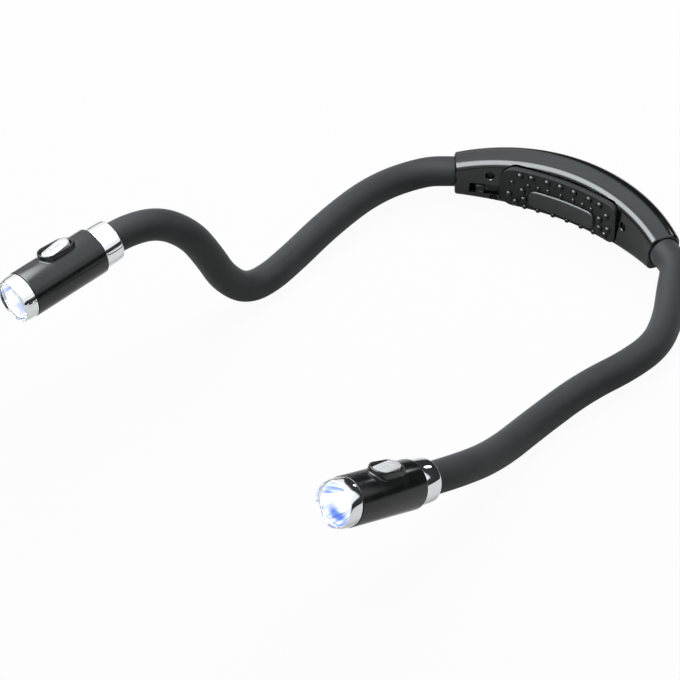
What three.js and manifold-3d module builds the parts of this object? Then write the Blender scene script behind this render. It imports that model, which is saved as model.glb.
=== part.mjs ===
// Neck reading light: a curved battery handle that lies behind the neck, a bendable arm on
// each side of it, and a lamp head with a rocker switch on the end of each arm.
// Millimetres, +Z up. The origin is the middle of the handle's flat underside, the arms
// reach towards -Y, and the light lies on a table at z = 0.

import * as THREE from 'three';
import { mergeVertices } from 'three/addons/utils/BufferGeometryUtils.js';
import Module from 'manifold-3d';

const wasm = await Module();
wasm.setup();

// Driving dimensions, one object for each part of the light

const fit = {
  seat: 0.3, // between pieces that rest on each other
  overrun: 1, // how far a cut runs past the face that it opens
  outside: 40, // size of a cutting block, larger than any section
};

const handle = {
  halfChord: 66, // middle to each arm socket, straight across
  halfTurn: 34, // degrees of the arc on each side of the middle
  socketHeight: 12.5,
  wall: 1.8,
  endFloor: 2.5,
  footShare: 0.3, // share of the half length with a flat underside
  endTop: 21.5,
  midTop: 28.8,
  endRear: 10.3,
  midRear: 12.8,
  endEdge: 7.9,
  midEdge: 8.3,
  endFace: 9.6,
  midFace: 12,
  rearTuck: 2,
  lipRadius: 1.2,
  splitEnd: 6.4, // the seam between the two shells, measured outwards
  splitMid: 8.2,
  plugDepth: 10, // solid end round each socket
  rings: 15,
};
const cornerRadii = { faceFloor: 4, rearFloor: 6, rearTop: 7.5, edge: 2.2 };
const cornerSteps = 3;

const arm = {
  length: 268,
  radius: 8.25,
  neckRadius: 7.4,
  neckDepth: 8,
  coreRadius: 3,
  coreClearance: 0.9,
  coreGap: 1, // from the end of a core link to the top of its ball
  jointClearance: 0.8,
  ballInset: 0.4, // the ball of a bend is this much smaller than the sleeve
  shoulder: 4.4, // a sleeve ends this far before the middle of its ball
  insert: 6.4, // how far the sleeve goes into the ferrule
  stationShares: [0.2, 0.45, 0.7, 0.93],
  sides: 12,
  coreSides: 6,
  ringSpacing: 8,
  routeSteps: 400,
};
// Where each arm points: share of its length, degrees outwards from -Y, degrees of climb
const bendShares = {
  left: [
    [0, 56, 0], [0.03, 56, 0], [0.07, 41, -5.5], [0.15, 14, 4.5], [0.25, 5.5, -1.5], [0.4, 1.5, -6],
    [0.5, 0.5, 0], [0.55, 13, -1], [0.62, 18, 43.5], [0.7, 17.5, 64], [0.78, 25, 59.5], [0.86, 32, 36],
    [0.93, 24.5, 5.5], [1, 13.5, -6],
  ],
  right: [
    [0, 56, 0], [0.03, 56, 0], [0.08, 22, -6.5], [0.16, 25, -3.5], [0.26, 13, 1.5], [0.34, -12.5, -3],
    [0.42, -19, 0], [0.55, -8.5, 0], [0.7, 0, 9], [0.85, -1.5, 22.5], [1, -12.5, 19],
  ],
};
const rollAngles = { left: 10, right: 0 }; // degrees that each head is turned about its own axis

const collar = { radius: 5, length: 6, gap: 0.8 };

const lamp = {
  barrelRadius: 12.4,
  barrelLength: 44.8,
  wall: 2,
  chamfer: 0.6,
  ferruleRadius: 11.2,
  ferruleLength: 10.8,
  ferruleRound: 1.2,
  bezelRadius: 12.1,
  bezelLength: 7.2,
  bezelWall: 0.9,
  bezelLip: 1.2,
  lipInset: 0.6, // the front lip stands inside the bore by this much
  spigotLength: 4,
  spigotWall: 1,
  lensThickness: 1.3,
  lensCrown: 0.8,
  crownShares: [0.9, 0.6, 0.3],
  reflectorDepth: 8.3,
  reflectorMouth: 9.4,
  reflectorThroat: 3,
  reflectorWall: 0.8,
  reflectorSteps: 4,
  boardThickness: 1.6,
  ledRadius: 2.5,
  ledFlange: 2.8,
  ledFlangeHeight: 1,
  ledHeight: 6.6,
  ledSides: 12,
  domeAngles: [0, 30, 60],
  sides: 20,
};

const rocker = {
  centreShare: 0.46, // along the barrel, from its back
  length: 16.8,
  width: 8,
  clearance: 0.7, // round the button, for its tilt
  bottom: 9.3,
  top: 14.2,
  tiltAngle: 7, // degrees, front end down
  pivotHeight: 10.2,
  pinRadius: 0.7,
  pinReach: 0.9,
  pinClearance: 0.3,
  rimWall: 1.9,
  rimTop: 14.9,
  rimRound: 0.5,
  rimAngle: 4, // degrees, back end down
  markLength: 6,
  markWidth: 0.7,
  markDepth: 0.4,
  curveSteps: 4,
  pinSides: 10,
};

const driver = {
  boardShare: 0.68, // of the barrel's length
  boardHeight: 0.4, // underside of the circuit board above the barrel's axis
  boardWidth: 18.2,
  switchLength: 11,
  switchWidth: 6.6,
  switchHeight: 4.6,
  postRadius: 1.2,
  postGap: 0.4,
  postSides: 10,
  wireRadius: 0.6,
  wireBendShare: 0.6,
  wireSteps: 6,
};

const door = {
  centre: -2.1, // along X
  length: 72.8,
  height: 24.6,
  centreHeight: 13,
  latchCorner: 8, // corner radius at the latch
  hingeCorner: 3, // corner radius at the hinge
  thickness: 2.6,
  rise: 0.7,
  backShift: 12.8, // the door's back edge, in front of the shells' seam
  nubRadius: 2.1,
  smallNubRadius: 1.4,
  nubSink: 0.5,
  nubSides: 6,
  nubRings: 4,
  curveSteps: 5,
  tongueHeight: 3.6,
  tongueCentre: 6.4,
  tongueLength: 6.5,
  tongueReach: 2.5,
  tongueThickness: 1.5,
  tongueDepth: 0.4, // behind the inside of the wall
};
// The nubs that stand at the label plate's two ends
const endNubShares = { left: -0.65, right: 0.68 };
// Nubs of the neck pad: shares of the door's half length and half height
const nubShares = [
  [-0.69, 0.69], [-0.51, 0.7], [-0.26, 0.7], [-0.04, 0.7], [0.2, 0.7], [0.47, 0.7], [0.67, 0.68],
  [endNubShares.left, -0.07], [-0.85, -0.37], [-0.75, -0.72], [-0.62, -0.5],
  [endNubShares.right, -0.06], [0.85, -0.36], [0.81, 0.3], [0.69, -0.5], [0.8, -0.7],
];
const smallNubShares = [
  [-0.81, 0.27], [-0.56, 0.27], [-0.4, 0.27], [-0.24, 0.27], [-0.02, 0.27], [0.19, 0.27], [0.36, 0.27],
  [0.52, 0.25], [-0.6, -0.9], [-0.39, -0.92], [-0.14, -0.92], [0.1, -0.92], [0.35, -0.92], [0.58, -0.9],
];

const label = {
  leftGap: 2.2, // to the nub at each end
  rightGap: 1.3,
  height: 10.6,
  centreHeight: 9.1,
  thickness: 1.2,
  cornerRadius: 4,
};

const latch = {
  outset: 8.9, // along X, from its middle to the door's end
  centreHeight: 8.6,
  length: 7.2,
  height: 5,
  proud: 0.8,
  flangeLength: 6.8,
  flangeHeight: 6,
  flangeThickness: 1.2,
  travel: 2.5,
  tongueLength: 8.6,
  tongueOutset: 0.1, // outer side of the tongue, inside the face
  tongueThickness: 1.1,
  ribCount: 3,
  ribWidth: 0.4,
  ribHeight: 0.4,
  hoopLength: 4.2,
  hoopWall: 0.8,
};

const cell = {
  radius: 5.25,
  length: 44.5,
  nubRadius: 1.9,
  nubLength: 0.8,
  spacing: 11.1,
  inset: 1,
  sides: 20,
};

const contact = {
  springLength: 6.5,
  plateThickness: 0.5,
  plateWidth: 8.4,
  plateHeight: 8.2,
  springRadius: 2.6,
  springWire: 0.35,
  springTurns: 3.5,
  springSteps: 8,
  springSides: 5,
  bulkheadThickness: 1.5,
};

const screw = {
  upperOutset: 5.8, // along X, from the door's ends
  lowerOutset: 2.8,
  rightOutset: 3.7,
  upperHeight: 16.8,
  lowerHeight: 3.4,
  rightHeight: 15.2,
  headRadius: 2,
  headHeight: 1.5,
  shankRadius: 1.1,
  length: 13,
  sink: 1.6, // the head lies this deep in the face
  holeClearance: 0.3,
  pillarWall: 0.9,
  pillarDepth: 4.2,
  sides: 12,
};

const lead = {
  radius: 0.7,
  height: 10,
  turnShare: 0.6,
  bowReach: 4,
  cellShare: 0.33,
  sides: 6,
  steps: 26,
};

// Materials

function finish(color, roughness, metalness = 0) {
  return () => new THREE.MeshStandardMaterial({ color, roughness, metalness });
}
const glossBlack = finish(0x101213, 0.12);
const satinBlack = finish(0x1a1c1d, 0.4);
const rubberBlack = finish(0x2c2e2f, 0.7);
const chrome = finish(0xe6e8ea, 0.06, 1);
const silver = finish(0xd9dbdd, 0.25, 1);
const steel = finish(0x9c9fa2, 0.35, 1);
const clear = finish(0xf2f7ff, 0.03);
const boardGreen = finish(0x1d5a38, 0.5);
const ledWhite = finish(0xdfe9ff, 0.1);
const cellJacket = finish(0x3a4a58, 0.35);
const wireRed = finish(0x8d1f1b, 0.5);

// Solids from three.js geometry

function solid(geometry) {
  const bare = geometry.clone();
  bare.deleteAttribute('normal');
  bare.deleteAttribute('uv');
  const merged = mergeVertices(bare);
  const corners = merged.index.array;
  const kept = [];
  for (let i = 0; i < corners.length; i += 3) {
    const [a, b, c] = [corners[i], corners[i + 1], corners[i + 2]];
    if (a !== b && b !== c && c !== a) kept.push(a, b, c);
  }
  return new wasm.Manifold(new wasm.Mesh({
    numProp: 3,
    vertProperties: new Float32Array(merged.attributes.position.array),
    triVerts: new Uint32Array(kept),
  }));
}

function geometryOf(body) {
  const mesh = body.getMesh();
  const geometry = new THREE.BufferGeometry();
  geometry.setAttribute('position', new THREE.BufferAttribute(new Float32Array(mesh.vertProperties), 3));
  geometry.setIndex(new THREE.BufferAttribute(new Uint32Array(mesh.triVerts), 1));
  geometry.computeVertexNormals();
  return geometry;
}

function joined(bodies) {
  return bodies.reduce((whole, body) => whole.add(body));
}

function piece(parent, name, body, material) {
  const mesh = new THREE.Mesh(geometryOf(body), material());
  mesh.name = name;
  parent.add(mesh);
}

// A closed skin through equal rings of points, with flat ends
function loft(rings, endShape) {
  const count = rings[0].length;
  const positions = rings.flat().flatMap((p) => [p.x, p.y, p.z]);
  const faces = [];
  for (let r = 0; r + 1 < rings.length; r += 1) {
    for (let i = 0; i < count; i += 1) {
      const a = r * count + i;
      const b = r * count + ((i + 1) % count);
      faces.push(a, b, b + count, a, b + count, a + count);
    }
  }
  const last = (rings.length - 1) * count;
  for (const [a, b, c] of THREE.ShapeUtils.triangulateShape(endShape, [])) {
    faces.push(a, c, b, last + a, last + b, last + c);
  }
  const geometry = new THREE.BufferGeometry();
  geometry.setAttribute('position', new THREE.Float32BufferAttribute(positions, 3));
  geometry.setIndex(faces);
  return geometry;
}

// A body of revolution about Y from [radius, y] points; a ring's outline closes on itself
function turned(outline, sides = lamp.sides) {
  return solid(new THREE.LatheGeometry(outline.map(([r, y]) => new THREE.Vector2(r, y)), sides));
}

function cylinder(radius, length, sides, y = 0) {
  return solid(new THREE.CylinderGeometry(radius, radius, length, sides).translate(0, y, 0));
}

function block(x, y, z, at = new THREE.Vector3()) {
  return solid(new THREE.BoxGeometry(x, y, z).translate(at.x, at.y, at.z));
}

// A flat outline with round corners, standing in the XY plane and centred on 0, 0
function roundedOutline(length, height, radius, leftRadius = radius) {
  const right = length / 2 - radius;
  const left = leftRadius - length / 2;
  const up = height / 2 - radius;
  const leftUp = height / 2 - leftRadius;
  const shape = new THREE.Shape();
  shape.absarc(right, up, radius, 0, Math.PI / 2);
  shape.absarc(left, leftUp, leftRadius, Math.PI / 2, Math.PI);
  shape.absarc(left, -leftUp, leftRadius, Math.PI, 1.5 * Math.PI);
  shape.absarc(right, -up, radius, 1.5 * Math.PI, 2 * Math.PI);
  return shape;
}

function circleOutline(radius, sides) {
  const turns = Array.from({ length: sides }, (_, i) => (i / sides) * 2 * Math.PI);
  return new THREE.Shape(turns.map((a) => new THREE.Vector2(radius * Math.cos(a), radius * Math.sin(a))));
}

function tube(points, radius, sides, steps) {
  return solid(new THREE.ExtrudeGeometry(circleOutline(radius, sides), {
    steps,
    bevelEnabled: false,
    extrudePath: new THREE.CatmullRomCurve3(points),
  }));
}

const mix = THREE.MathUtils.lerp;
const radians = THREE.MathUtils.degToRad;

// The handle: an arc in plan whose section swells towards the middle

const arcRadius = handle.halfChord / Math.sin(radians(handle.halfTurn));
const halfArc = arcRadius * radians(handle.halfTurn);

// A point from the share along the half arc, the distance outwards and the height
function handlePoint(share, outwards, height) {
  const angle = share * radians(handle.halfTurn);
  const r = arcRadius + outwards;
  return new THREE.Vector3(r * Math.sin(angle), r * Math.cos(angle) - arcRadius, height);
}

function handleSizes(share) {
  const swell = 1 - share * share;
  const lifted = Math.max(0, Math.abs(share) - handle.footShare) / (1 - handle.footShare);
  return {
    floor: handle.endFloor * lifted * lifted,
    top: mix(handle.endTop, handle.midTop, swell),
    rear: mix(handle.endRear, handle.midRear, swell),
    edge: -mix(handle.endEdge, handle.midEdge, swell),
    face: -mix(handle.endFace, handle.midFace, swell),
    split: mix(handle.splitEnd, handle.splitMid, swell),
  };
}

// The face leans: its distance outwards at a height
function faceAt(share, height) {
  const s = handleSizes(share);
  return mix(s.face, s.edge, (height - s.floor) / (s.top - s.floor));
}

// Corners of the section, grown outwards by an offset and rounded
function sectionPoints(share, grow) {
  const s = handleSizes(share);
  const corners = [
    { p: new THREE.Vector2(s.face, s.floor), r: cornerRadii.faceFloor },
    { p: new THREE.Vector2(s.rear - handle.rearTuck, s.floor), r: cornerRadii.rearFloor },
    { p: new THREE.Vector2(s.rear, s.top), r: cornerRadii.rearTop },
    { p: new THREE.Vector2(s.edge, s.top), r: cornerRadii.edge },
  ];
  const count = corners.length;
  const sides = corners.map(({ p }, i) => {
    const along = corners[(i + 1) % count].p.clone().sub(p).normalize();
    return { from: p.clone().add(new THREE.Vector2(along.y, -along.x).multiplyScalar(grow)), along };
  });
  const moved = sides.map((side, i) => {
    const before = sides[(i + count - 1) % count];
    const gap = side.from.clone().sub(before.from);
    const step = gap.cross(side.along) / before.along.cross(side.along);
    return before.from.clone().addScaledVector(before.along, step);
  });
  return moved.flatMap((corner, i) => {
    const before = sides[(i + count - 1) % count].along;
    const after = sides[i].along;
    const turn = Math.acos(THREE.MathUtils.clamp(before.dot(after), -1, 1));
    const reach = Math.max(corners[i].r + grow, handle.wall / 4) * Math.tan(turn / 2);
    const start = corner.clone().addScaledVector(before, -reach);
    const stop = corner.clone().addScaledVector(after, reach);
    return new THREE.QuadraticBezierCurve(start, corner, stop).getPoints(cornerSteps);
  });
}

function ringAt(share, outline) {
  return outline.map((p) => handlePoint(share, p.x, p.y));
}

// The handle's outer form, or one inside or outside it by the offset
function handleForm(grow, reachShare = 1, lip = 0) {
  const shares = Array.from(
    { length: handle.rings + 1 }, (_, i) => reachShare * (2 * i / handle.rings - 1));
  const rings = shares.map((share) => ringAt(share, sectionPoints(share, grow)));
  if (lip > 0) {
    const step = lip / halfArc;
    const inner = reachShare - step;
    rings[0] = ringAt(-reachShare, sectionPoints(-reachShare, grow - lip));
    rings[rings.length - 1] = ringAt(reachShare, sectionPoints(reachShare, grow - lip));
    rings.splice(1, 0, ringAt(-inner, sectionPoints(-inner, grow)));
    rings.splice(rings.length - 1, 0, ringAt(inner, sectionPoints(inner, grow)));
  }
  return solid(loft(rings, sectionPoints(reachShare, grow)));
}

// Everything outside the seam between the shells
function rearRegion(shift) {
  const rings = [];
  const outline = (split) => [
    new THREE.Vector2(split, -fit.outside), new THREE.Vector2(fit.outside, -fit.outside),
    new THREE.Vector2(fit.outside, fit.outside), new THREE.Vector2(split, fit.outside),
  ];
  const past = 1 + fit.overrun / halfArc;
  for (let i = 0; i <= handle.rings; i += 1) {
    const share = past * (2 * i / handle.rings - 1);
    rings.push(ringAt(share, outline(handleSizes(Math.min(1, Math.max(-1, share))).split + shift)));
  }
  return solid(loft(rings, outline(handle.splitEnd)));
}

// Stands a solid that was made about Y at a place on the handle, Y pointing outwards
function onHandle(body, share, outwards, height) {
  const turnedAbout = new THREE.Matrix4().makeRotationZ(-share * radians(handle.halfTurn));
  return body.transform(turnedAbout.setPosition(handlePoint(share, outwards, height)).toArray());
}

// The share along the handle at which the face stands over a given X
function shareAtX(x, height, grow = 0) {
  let share = 0;
  for (let i = 0; i < 4; i += 1) {
    share = Math.asin(x / (arcRadius + faceAt(share, height) - grow)) / radians(handle.halfTurn);
  }
  return share;
}

// A prism along Y through the face, from an outline seen from the front
function facePrism(outline, x, height, shift = door.backShift) {
  const prism = new THREE.ExtrudeGeometry(
    outline, { depth: fit.outside, bevelEnabled: false, curveSegments: door.curveSteps });
  return solid(prism.rotateX(Math.PI / 2).translate(x, 0, height)).subtract(rearRegion(-shift));
}

const socketShare = 1 - handle.plugDepth / halfArc;
const bayMiddle = handle.midTop / 2;
const plateFace = (cell.length + contact.springLength) / 2 + fit.seat; // inner face of each contact plate
const bulkheadFace = plateFace + contact.plateThickness + fit.seat;

// The arms: routes that leave the sockets and follow the bend tables

function armRoute(side) {
  const sign = side === 'left' ? -1 : 1;
  const table = bendShares[side];
  const aim = (share) => {
    const next = Math.max(1, table.findIndex(([at]) => at >= share));
    const [from, to] = [table[next - 1], table[next]];
    const part = (share - from[0]) / (to[0] - from[0]);
    const out = radians(mix(from[1], to[1], part));
    const climb = radians(mix(from[2], to[2], part));
    return new THREE.Vector3(
      sign * Math.sin(out) * Math.cos(climb), -Math.cos(out) * Math.cos(climb), Math.sin(climb));
  };
  const samples = arm.routeSteps;
  const points = [handlePoint(sign, 0, handle.socketHeight)];
  for (let i = 0; i < samples; i += 1) {
    const share = (i + 0.5) / samples;
    points.push(points[i].clone().addScaledVector(aim(share), arm.length / samples));
  }
  const pointAt = (distance) => {
    if (distance <= 0) return points[0].clone().addScaledVector(aim(0), distance);
    if (distance >= arm.length) {
      return points[samples].clone().addScaledVector(aim(1), distance - arm.length);
    }
    const at = (distance / arm.length) * samples;
    const i = Math.min(samples - 1, Math.floor(at));
    return points[i].clone().lerp(points[i + 1], at - i);
  };
  const aimAt = (distance) => aim(THREE.MathUtils.clamp(distance / arm.length, 0, 1));
  return { side, sign, pointAt, aimAt };
}

function stretch(route, from, to, radius, sides) {
  const steps = Math.max(2, Math.round((to - from) / arm.ringSpacing));
  const points = Array.from({ length: steps + 1 }, (_, i) => route.pointAt(mix(from, to, i / steps)));
  return tube(points, radius, sides, steps);
}

// A ball on the route whose poles lie along it
function ballAt(route, distance, radius) {
  const ball = new THREE.SphereGeometry(radius, arm.sides, arm.sides / 2);
  const up = new THREE.Vector3(0, 1, 0);
  const turn = new THREE.Quaternion().setFromUnitVectors(up, route.aimAt(distance));
  const at = route.pointAt(distance);
  return solid(ball.applyQuaternion(turn).translate(at.x, at.y, at.z));
}

const ballRadius = arm.radius - arm.ballInset;
const hollowRadius = ballRadius + arm.jointClearance;
const cupEdge = Math.sqrt(hollowRadius ** 2 - arm.radius ** 2); // where a sleeve starts past its ball
const stations = arm.stationShares.map((share) => share * arm.length);
const coreStart = -(handle.plugDepth + collar.gap + collar.length);
const coreEnd = arm.length + lamp.ferruleLength + lamp.spigotLength / 2;

// The thinner end of a sleeve that stands in the handle's socket
function neckOf(route) {
  return stretch(route, -arm.neckDepth, fit.seat + fit.overrun, arm.neckRadius, arm.sides);
}

// Sleeve and core of an arm, parted at the stations where it bends
function addArm(parent, route) {
  const ends = [...stations, null];
  ends.forEach((station, i) => {
    const begins = i === 0 ? 0 : stations[i - 1];
    const edge = i === 0 ? fit.seat : begins + cupEdge;
    const last = station === null;
    const stops = last ? arm.length + arm.insert : station - arm.shoulder;
    let sleeve = stretch(route, edge, stops, arm.radius, arm.sides);
    if (i === 0) sleeve = sleeve.add(neckOf(route));
    else sleeve = sleeve.subtract(ballAt(route, begins, hollowRadius));
    if (!last) sleeve = sleeve.add(ballAt(route, station, ballRadius));
    const boreFrom = i === 0 ? -arm.neckDepth - fit.overrun : begins;
    const boreTo = last ? stops + fit.overrun : station + arm.radius + fit.overrun;
    const bore = stretch(route, boreFrom, boreTo, arm.coreRadius + arm.coreClearance, arm.coreSides);
    piece(parent, `${route.side}_sleeve_${i + 1}`, sleeve.subtract(bore), rubberBlack);

    const coreFrom = i === 0 ? coreStart : begins + hollowRadius + fit.seat;
    const coreTo = last ? coreEnd : station + ballRadius - arm.coreGap;
    const core = stretch(route, coreFrom, coreTo, arm.coreRadius, arm.coreSides);
    piece(parent, `${route.side}_core_${i + 1}`, core, steel);
  });
  const middle = -(handle.plugDepth + collar.gap + collar.length / 2);
  const ring = cylinder(collar.radius, collar.length, arm.sides)
    .subtract(cylinder(arm.coreRadius + fit.seat, collar.length + 2 * fit.overrun, arm.coreSides));
  const turn = new THREE.Quaternion().setFromUnitVectors(new THREE.Vector3(0, 1, 0), route.aimAt(middle));
  const place = new THREE.Matrix4().makeRotationFromQuaternion(turn).setPosition(route.pointAt(middle));
  piece(parent, `${route.side}_arm_collar`, ring.transform(place.toArray()), steel);
}

// The handle's shells

const doorLeft = door.centre - door.length / 2;
const doorRight = door.centre + door.length / 2;
const screwPlaces = [
  { x: doorLeft - screw.upperOutset, height: screw.upperHeight },
  { x: doorLeft - screw.lowerOutset, height: screw.lowerHeight },
  { x: doorRight + screw.rightOutset, height: screw.rightHeight },
];
const recessRadius = screw.headRadius + screw.holeClearance;
const pillarRadius = recessRadius + screw.pillarWall;

function atScrew({ x, height }, body) {
  const share = shareAtX(x, height);
  return onHandle(body, share, faceAt(share, height), height);
}

function atScrews(make) {
  return joined(screwPlaces.map((place) => atScrew(place, make())));
}

// A round bar about Y between two depths behind the face
function bar(radius, from, to) {
  return cylinder(radius, to - from, screw.sides, (from + to) / 2);
}

function screwBores() {
  const radius = screw.shankRadius + screw.holeClearance;
  return atScrews(() => bar(radius, 0, screw.sink + screw.length + fit.seat));
}

function socketCuts() {
  const routes = ['left', 'right'].map(armRoute);
  return joined(routes.flatMap((route) => [
    stretch(route, -arm.neckDepth - fit.seat, fit.overrun, arm.neckRadius + fit.seat, arm.sides),
    stretch(route, -handle.plugDepth - fit.overrun, 0, arm.coreRadius + fit.seat, arm.coreSides),
  ]));
}

function doorOutline(gap) {
  const height = door.height - 2 * gap;
  return roundedOutline(door.length - 2 * gap, height, door.hingeCorner - gap, door.latchCorner - gap);
}

const latchCentre = doorLeft - latch.outset;
const latchShare = shareAtX(latchCentre, latch.centreHeight);
const latchFace = faceAt(latchShare, latch.centreHeight);

// The slot in which the latch slides; it opens into the door's opening
function latchSlot() {
  const gap = 2 * fit.seat;
  const from = latchCentre - latch.length / 2 - latch.travel - gap;
  const length = doorLeft + door.latchCorner - from;
  const outline = roundedOutline(length, latch.height + gap, gap);
  return facePrism(outline, from + length / 2, latch.centreHeight);
}

function handleWalls() {
  const hollow = handleForm(-handle.wall, socketShare);
  return handleForm(0, 1, handle.lipRadius).subtract(hollow).subtract(socketCuts());
}

function innerShell(walls) {
  const inside = handleForm(-handle.wall / 2);
  const pillars = atScrews(() => bar(pillarRadius, handle.wall / 2, screw.pillarDepth)).intersect(inside);
  const heads = atScrews(() => bar(recessRadius, -fit.overrun - door.rise, screw.sink + screw.headHeight));
  return walls.add(pillars)
    .subtract(rearRegion(-fit.seat / 2))
    .subtract(facePrism(doorOutline(0), door.centre, door.centreHeight, door.backShift - fit.seat))
    .subtract(latchSlot())
    .subtract(heads)
    .subtract(screwBores());
}

function outerShell(walls) {
  const deep = handle.midRear + handle.midFace;
  const from = screw.pillarDepth + fit.seat;
  const inside = handleForm(-handle.wall / 2);
  const clearOfInner = handleForm(-handle.wall - fit.seat).add(rearRegion(fit.seat / 2).intersect(inside));
  const pillars = atScrews(() => bar(pillarRadius, from, deep)).intersect(clearOfInner);
  const out = deep / 2 - cell.inset - cell.radius;
  const middle = bulkheadFace + contact.bulkheadThickness / 2;
  const bulkheads = [-middle, middle].map((x) => block(
    contact.bulkheadThickness, deep, handle.midTop, new THREE.Vector3(x, out, bayMiddle)));
  const ribs = joined(bulkheads).intersect(clearOfInner).subtract(batteryLeads(lead.radius + fit.seat));
  return walls.intersect(rearRegion(fit.seat / 2)).add(pillars).add(ribs).subtract(screwBores());
}

function shellScrew(place) {
  const head = bar(screw.headRadius, screw.sink, screw.sink + screw.headHeight);
  const width = screw.headHeight / 3;
  const top = new THREE.Vector3(0, screw.sink, 0);
  const cross = block(screw.headRadius, 2 * width, width, top)
    .add(block(width, 2 * width, screw.headRadius, top));
  const shank = bar(screw.shankRadius, screw.sink + screw.headHeight / 2, screw.sink + screw.length);
  return atScrew(place, head.add(shank).subtract(cross));
}

// The battery door with its neck pad

function nubAlong(xShare) {
  return door.centre + xShare * door.length / 2;
}

function nub([xShare, zShare], radius) {
  const x = nubAlong(xShare);
  const height = door.centreHeight + zShare * door.height / 2;
  const share = shareAtX(x, height, door.rise);
  const out = faceAt(share, height) - door.rise + roundedAway(share, height);
  const at = handlePoint(share, out + door.nubSink, height);
  const ball = new THREE.SphereGeometry(radius, door.nubSides, door.nubRings);
  return solid(ball.rotateX(Math.PI / 2).translate(at.x, at.y, at.z));
}

// How far the rounded lower corner of the face draws back at a height
function roundedAway(share, height) {
  const r = cornerRadii.faceFloor + door.rise;
  const under = handleSizes(share).floor - door.rise + r - height;
  return under > 0 ? r - Math.sqrt(Math.max(0, r * r - under * under)) : 0;
}

function batteryDoor() {
  const skin = handleForm(door.rise).subtract(handleForm(-door.thickness));
  const nubs = [
    ...nubShares.map((at) => nub(at, door.nubRadius)),
    ...smallNubShares.map((at) => nub(at, door.smallNubRadius)),
  ];
  const panel = skin.add(joined(nubs))
    .intersect(facePrism(doorOutline(fit.seat), door.centre, door.centreHeight));
  const share = shareAtX(doorRight, door.tongueCentre);
  const wallInside = faceAt(share, door.tongueCentre) + handle.wall;
  const reach = door.tongueDepth + door.tongueThickness / 2;
  const tongue = block(door.tongueLength, door.tongueThickness, door.tongueHeight,
    new THREE.Vector3(door.tongueReach - door.tongueLength / 2, reach, 0));
  const root = block(door.tongueReach, door.thickness, door.tongueHeight,
    new THREE.Vector3(1.5 * door.tongueReach - door.tongueLength - fit.seat, 0, 0));
  const hook = onHandle(tongue.add(root), share, wallInside, door.tongueCentre);
  const notch = onHandle(
    block(latch.tongueLength + 4 * fit.seat, 4 * door.thickness, latch.height + 2 * fit.seat,
      new THREE.Vector3((latch.length + latch.tongueLength) / 2, 0, 0)),
    latchShare, latchFace, latch.centreHeight);
  return panel.add(hook).subtract(notch);
}

function labelPlate() {
  const from = nubAlong(endNubShares.left) + door.nubRadius + label.leftGap;
  const to = nubAlong(endNubShares.right) - door.nubRadius - label.rightGap;
  const outline = roundedOutline(to - from, label.height, label.cornerRadius);
  const near = door.rise + fit.seat;
  const skin = handleForm(near + label.thickness).subtract(handleForm(near));
  return skin.intersect(facePrism(outline, (from + to) / 2, label.centreHeight));
}

// The sliding latch: a thumb block, a flange behind the wall and a tongue towards the door
function doorLatch() {
  const middle = -latch.proud / 2 + handle.wall / 2;
  const thumb = block(latch.length, handle.wall + latch.proud + fit.overrun, latch.height - fit.seat,
    new THREE.Vector3(0, middle + fit.overrun / 2, 0));
  const flange = block(latch.flangeLength, latch.flangeThickness, latch.flangeHeight,
    new THREE.Vector3(0, handle.wall + 2 * fit.seat + latch.flangeThickness / 2, 0));
  const tongueAt = latch.tongueOutset + latch.tongueThickness / 2;
  const tongue = block(latch.tongueLength, latch.tongueThickness, latch.height - 2 * fit.seat,
    new THREE.Vector3(latch.length / 2 + latch.tongueLength / 2 - fit.seat, tongueAt, 0));
  const pitch = (latch.length - latch.hoopLength) / (latch.ribCount + 1);
  const ribs = Array.from({ length: latch.ribCount }, (_, i) => block(
    latch.ribWidth, 2 * latch.ribHeight, latch.height - 3 * fit.seat,
    new THREE.Vector3(latch.length / 2 - pitch * (i + 1), -latch.proud, 0)));
  const hoop = block(latch.hoopLength, 2 * latch.hoopWall, latch.height - fit.seat)
    .subtract(block(latch.hoopLength, 3 * latch.hoopWall, latch.height - 2 * latch.hoopWall - fit.seat,
      new THREE.Vector3(latch.hoopWall, 0, 0)));
  const hoopAt = new THREE.Matrix4()
    .makeTranslation((latch.hoopLength - latch.length) / 2, -latch.proud, 0);
  const whole = joined([thumb, flange, tongue, ...ribs, hoop.transform(hoopAt.toArray())]);
  return onHandle(whole, latchShare, latchFace, latch.centreHeight);
}

// Cells and contacts

function cellSolid(nubSign) {
  const length = cell.length - cell.nubLength;
  const can = cylinder(cell.radius, length, cell.sides, -cell.nubLength / 2);
  const nubEnd = cylinder(cell.nubRadius, 2 * cell.nubLength, cell.sides, length / 2 - cell.nubLength / 2);
  const turn = new THREE.Matrix4().makeRotationZ(-nubSign * Math.PI / 2);
  return can.add(nubEnd).transform(turn.toArray());
}

function cellAt(nubSign, height) {
  const place = new THREE.Matrix4();
  place.makeTranslation(nubSign * contact.springLength / 2, -cell.inset, height);
  return cellSolid(nubSign).transform(place.toArray());
}

const lowerCell = bayMiddle - cell.spacing / 2;
const upperCell = bayMiddle + cell.spacing / 2;

function contactPlate(sign, height, plateHeight) {
  return block(contact.plateThickness, contact.plateWidth, plateHeight,
    new THREE.Vector3(sign * (plateFace + contact.plateThickness / 2), -cell.inset, height));
}

// A coil that stands on its plate; the plate holds its first point
function contactSpring(sign, height) {
  const count = Math.round(contact.springTurns * contact.springSteps);
  const from = plateFace;
  const length = contact.springLength - contact.springWire;
  const points = Array.from({ length: count + 1 }, (_, i) => {
    const angle = (i / contact.springSteps) * 2 * Math.PI;
    return new THREE.Vector3(
      sign * (from - length * (i / count)),
      -cell.inset + contact.springRadius * Math.cos(angle),
      height + contact.springRadius * Math.sin(angle));
  });
  return tube(points, contact.springWire, contact.springSides, count);
}

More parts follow.
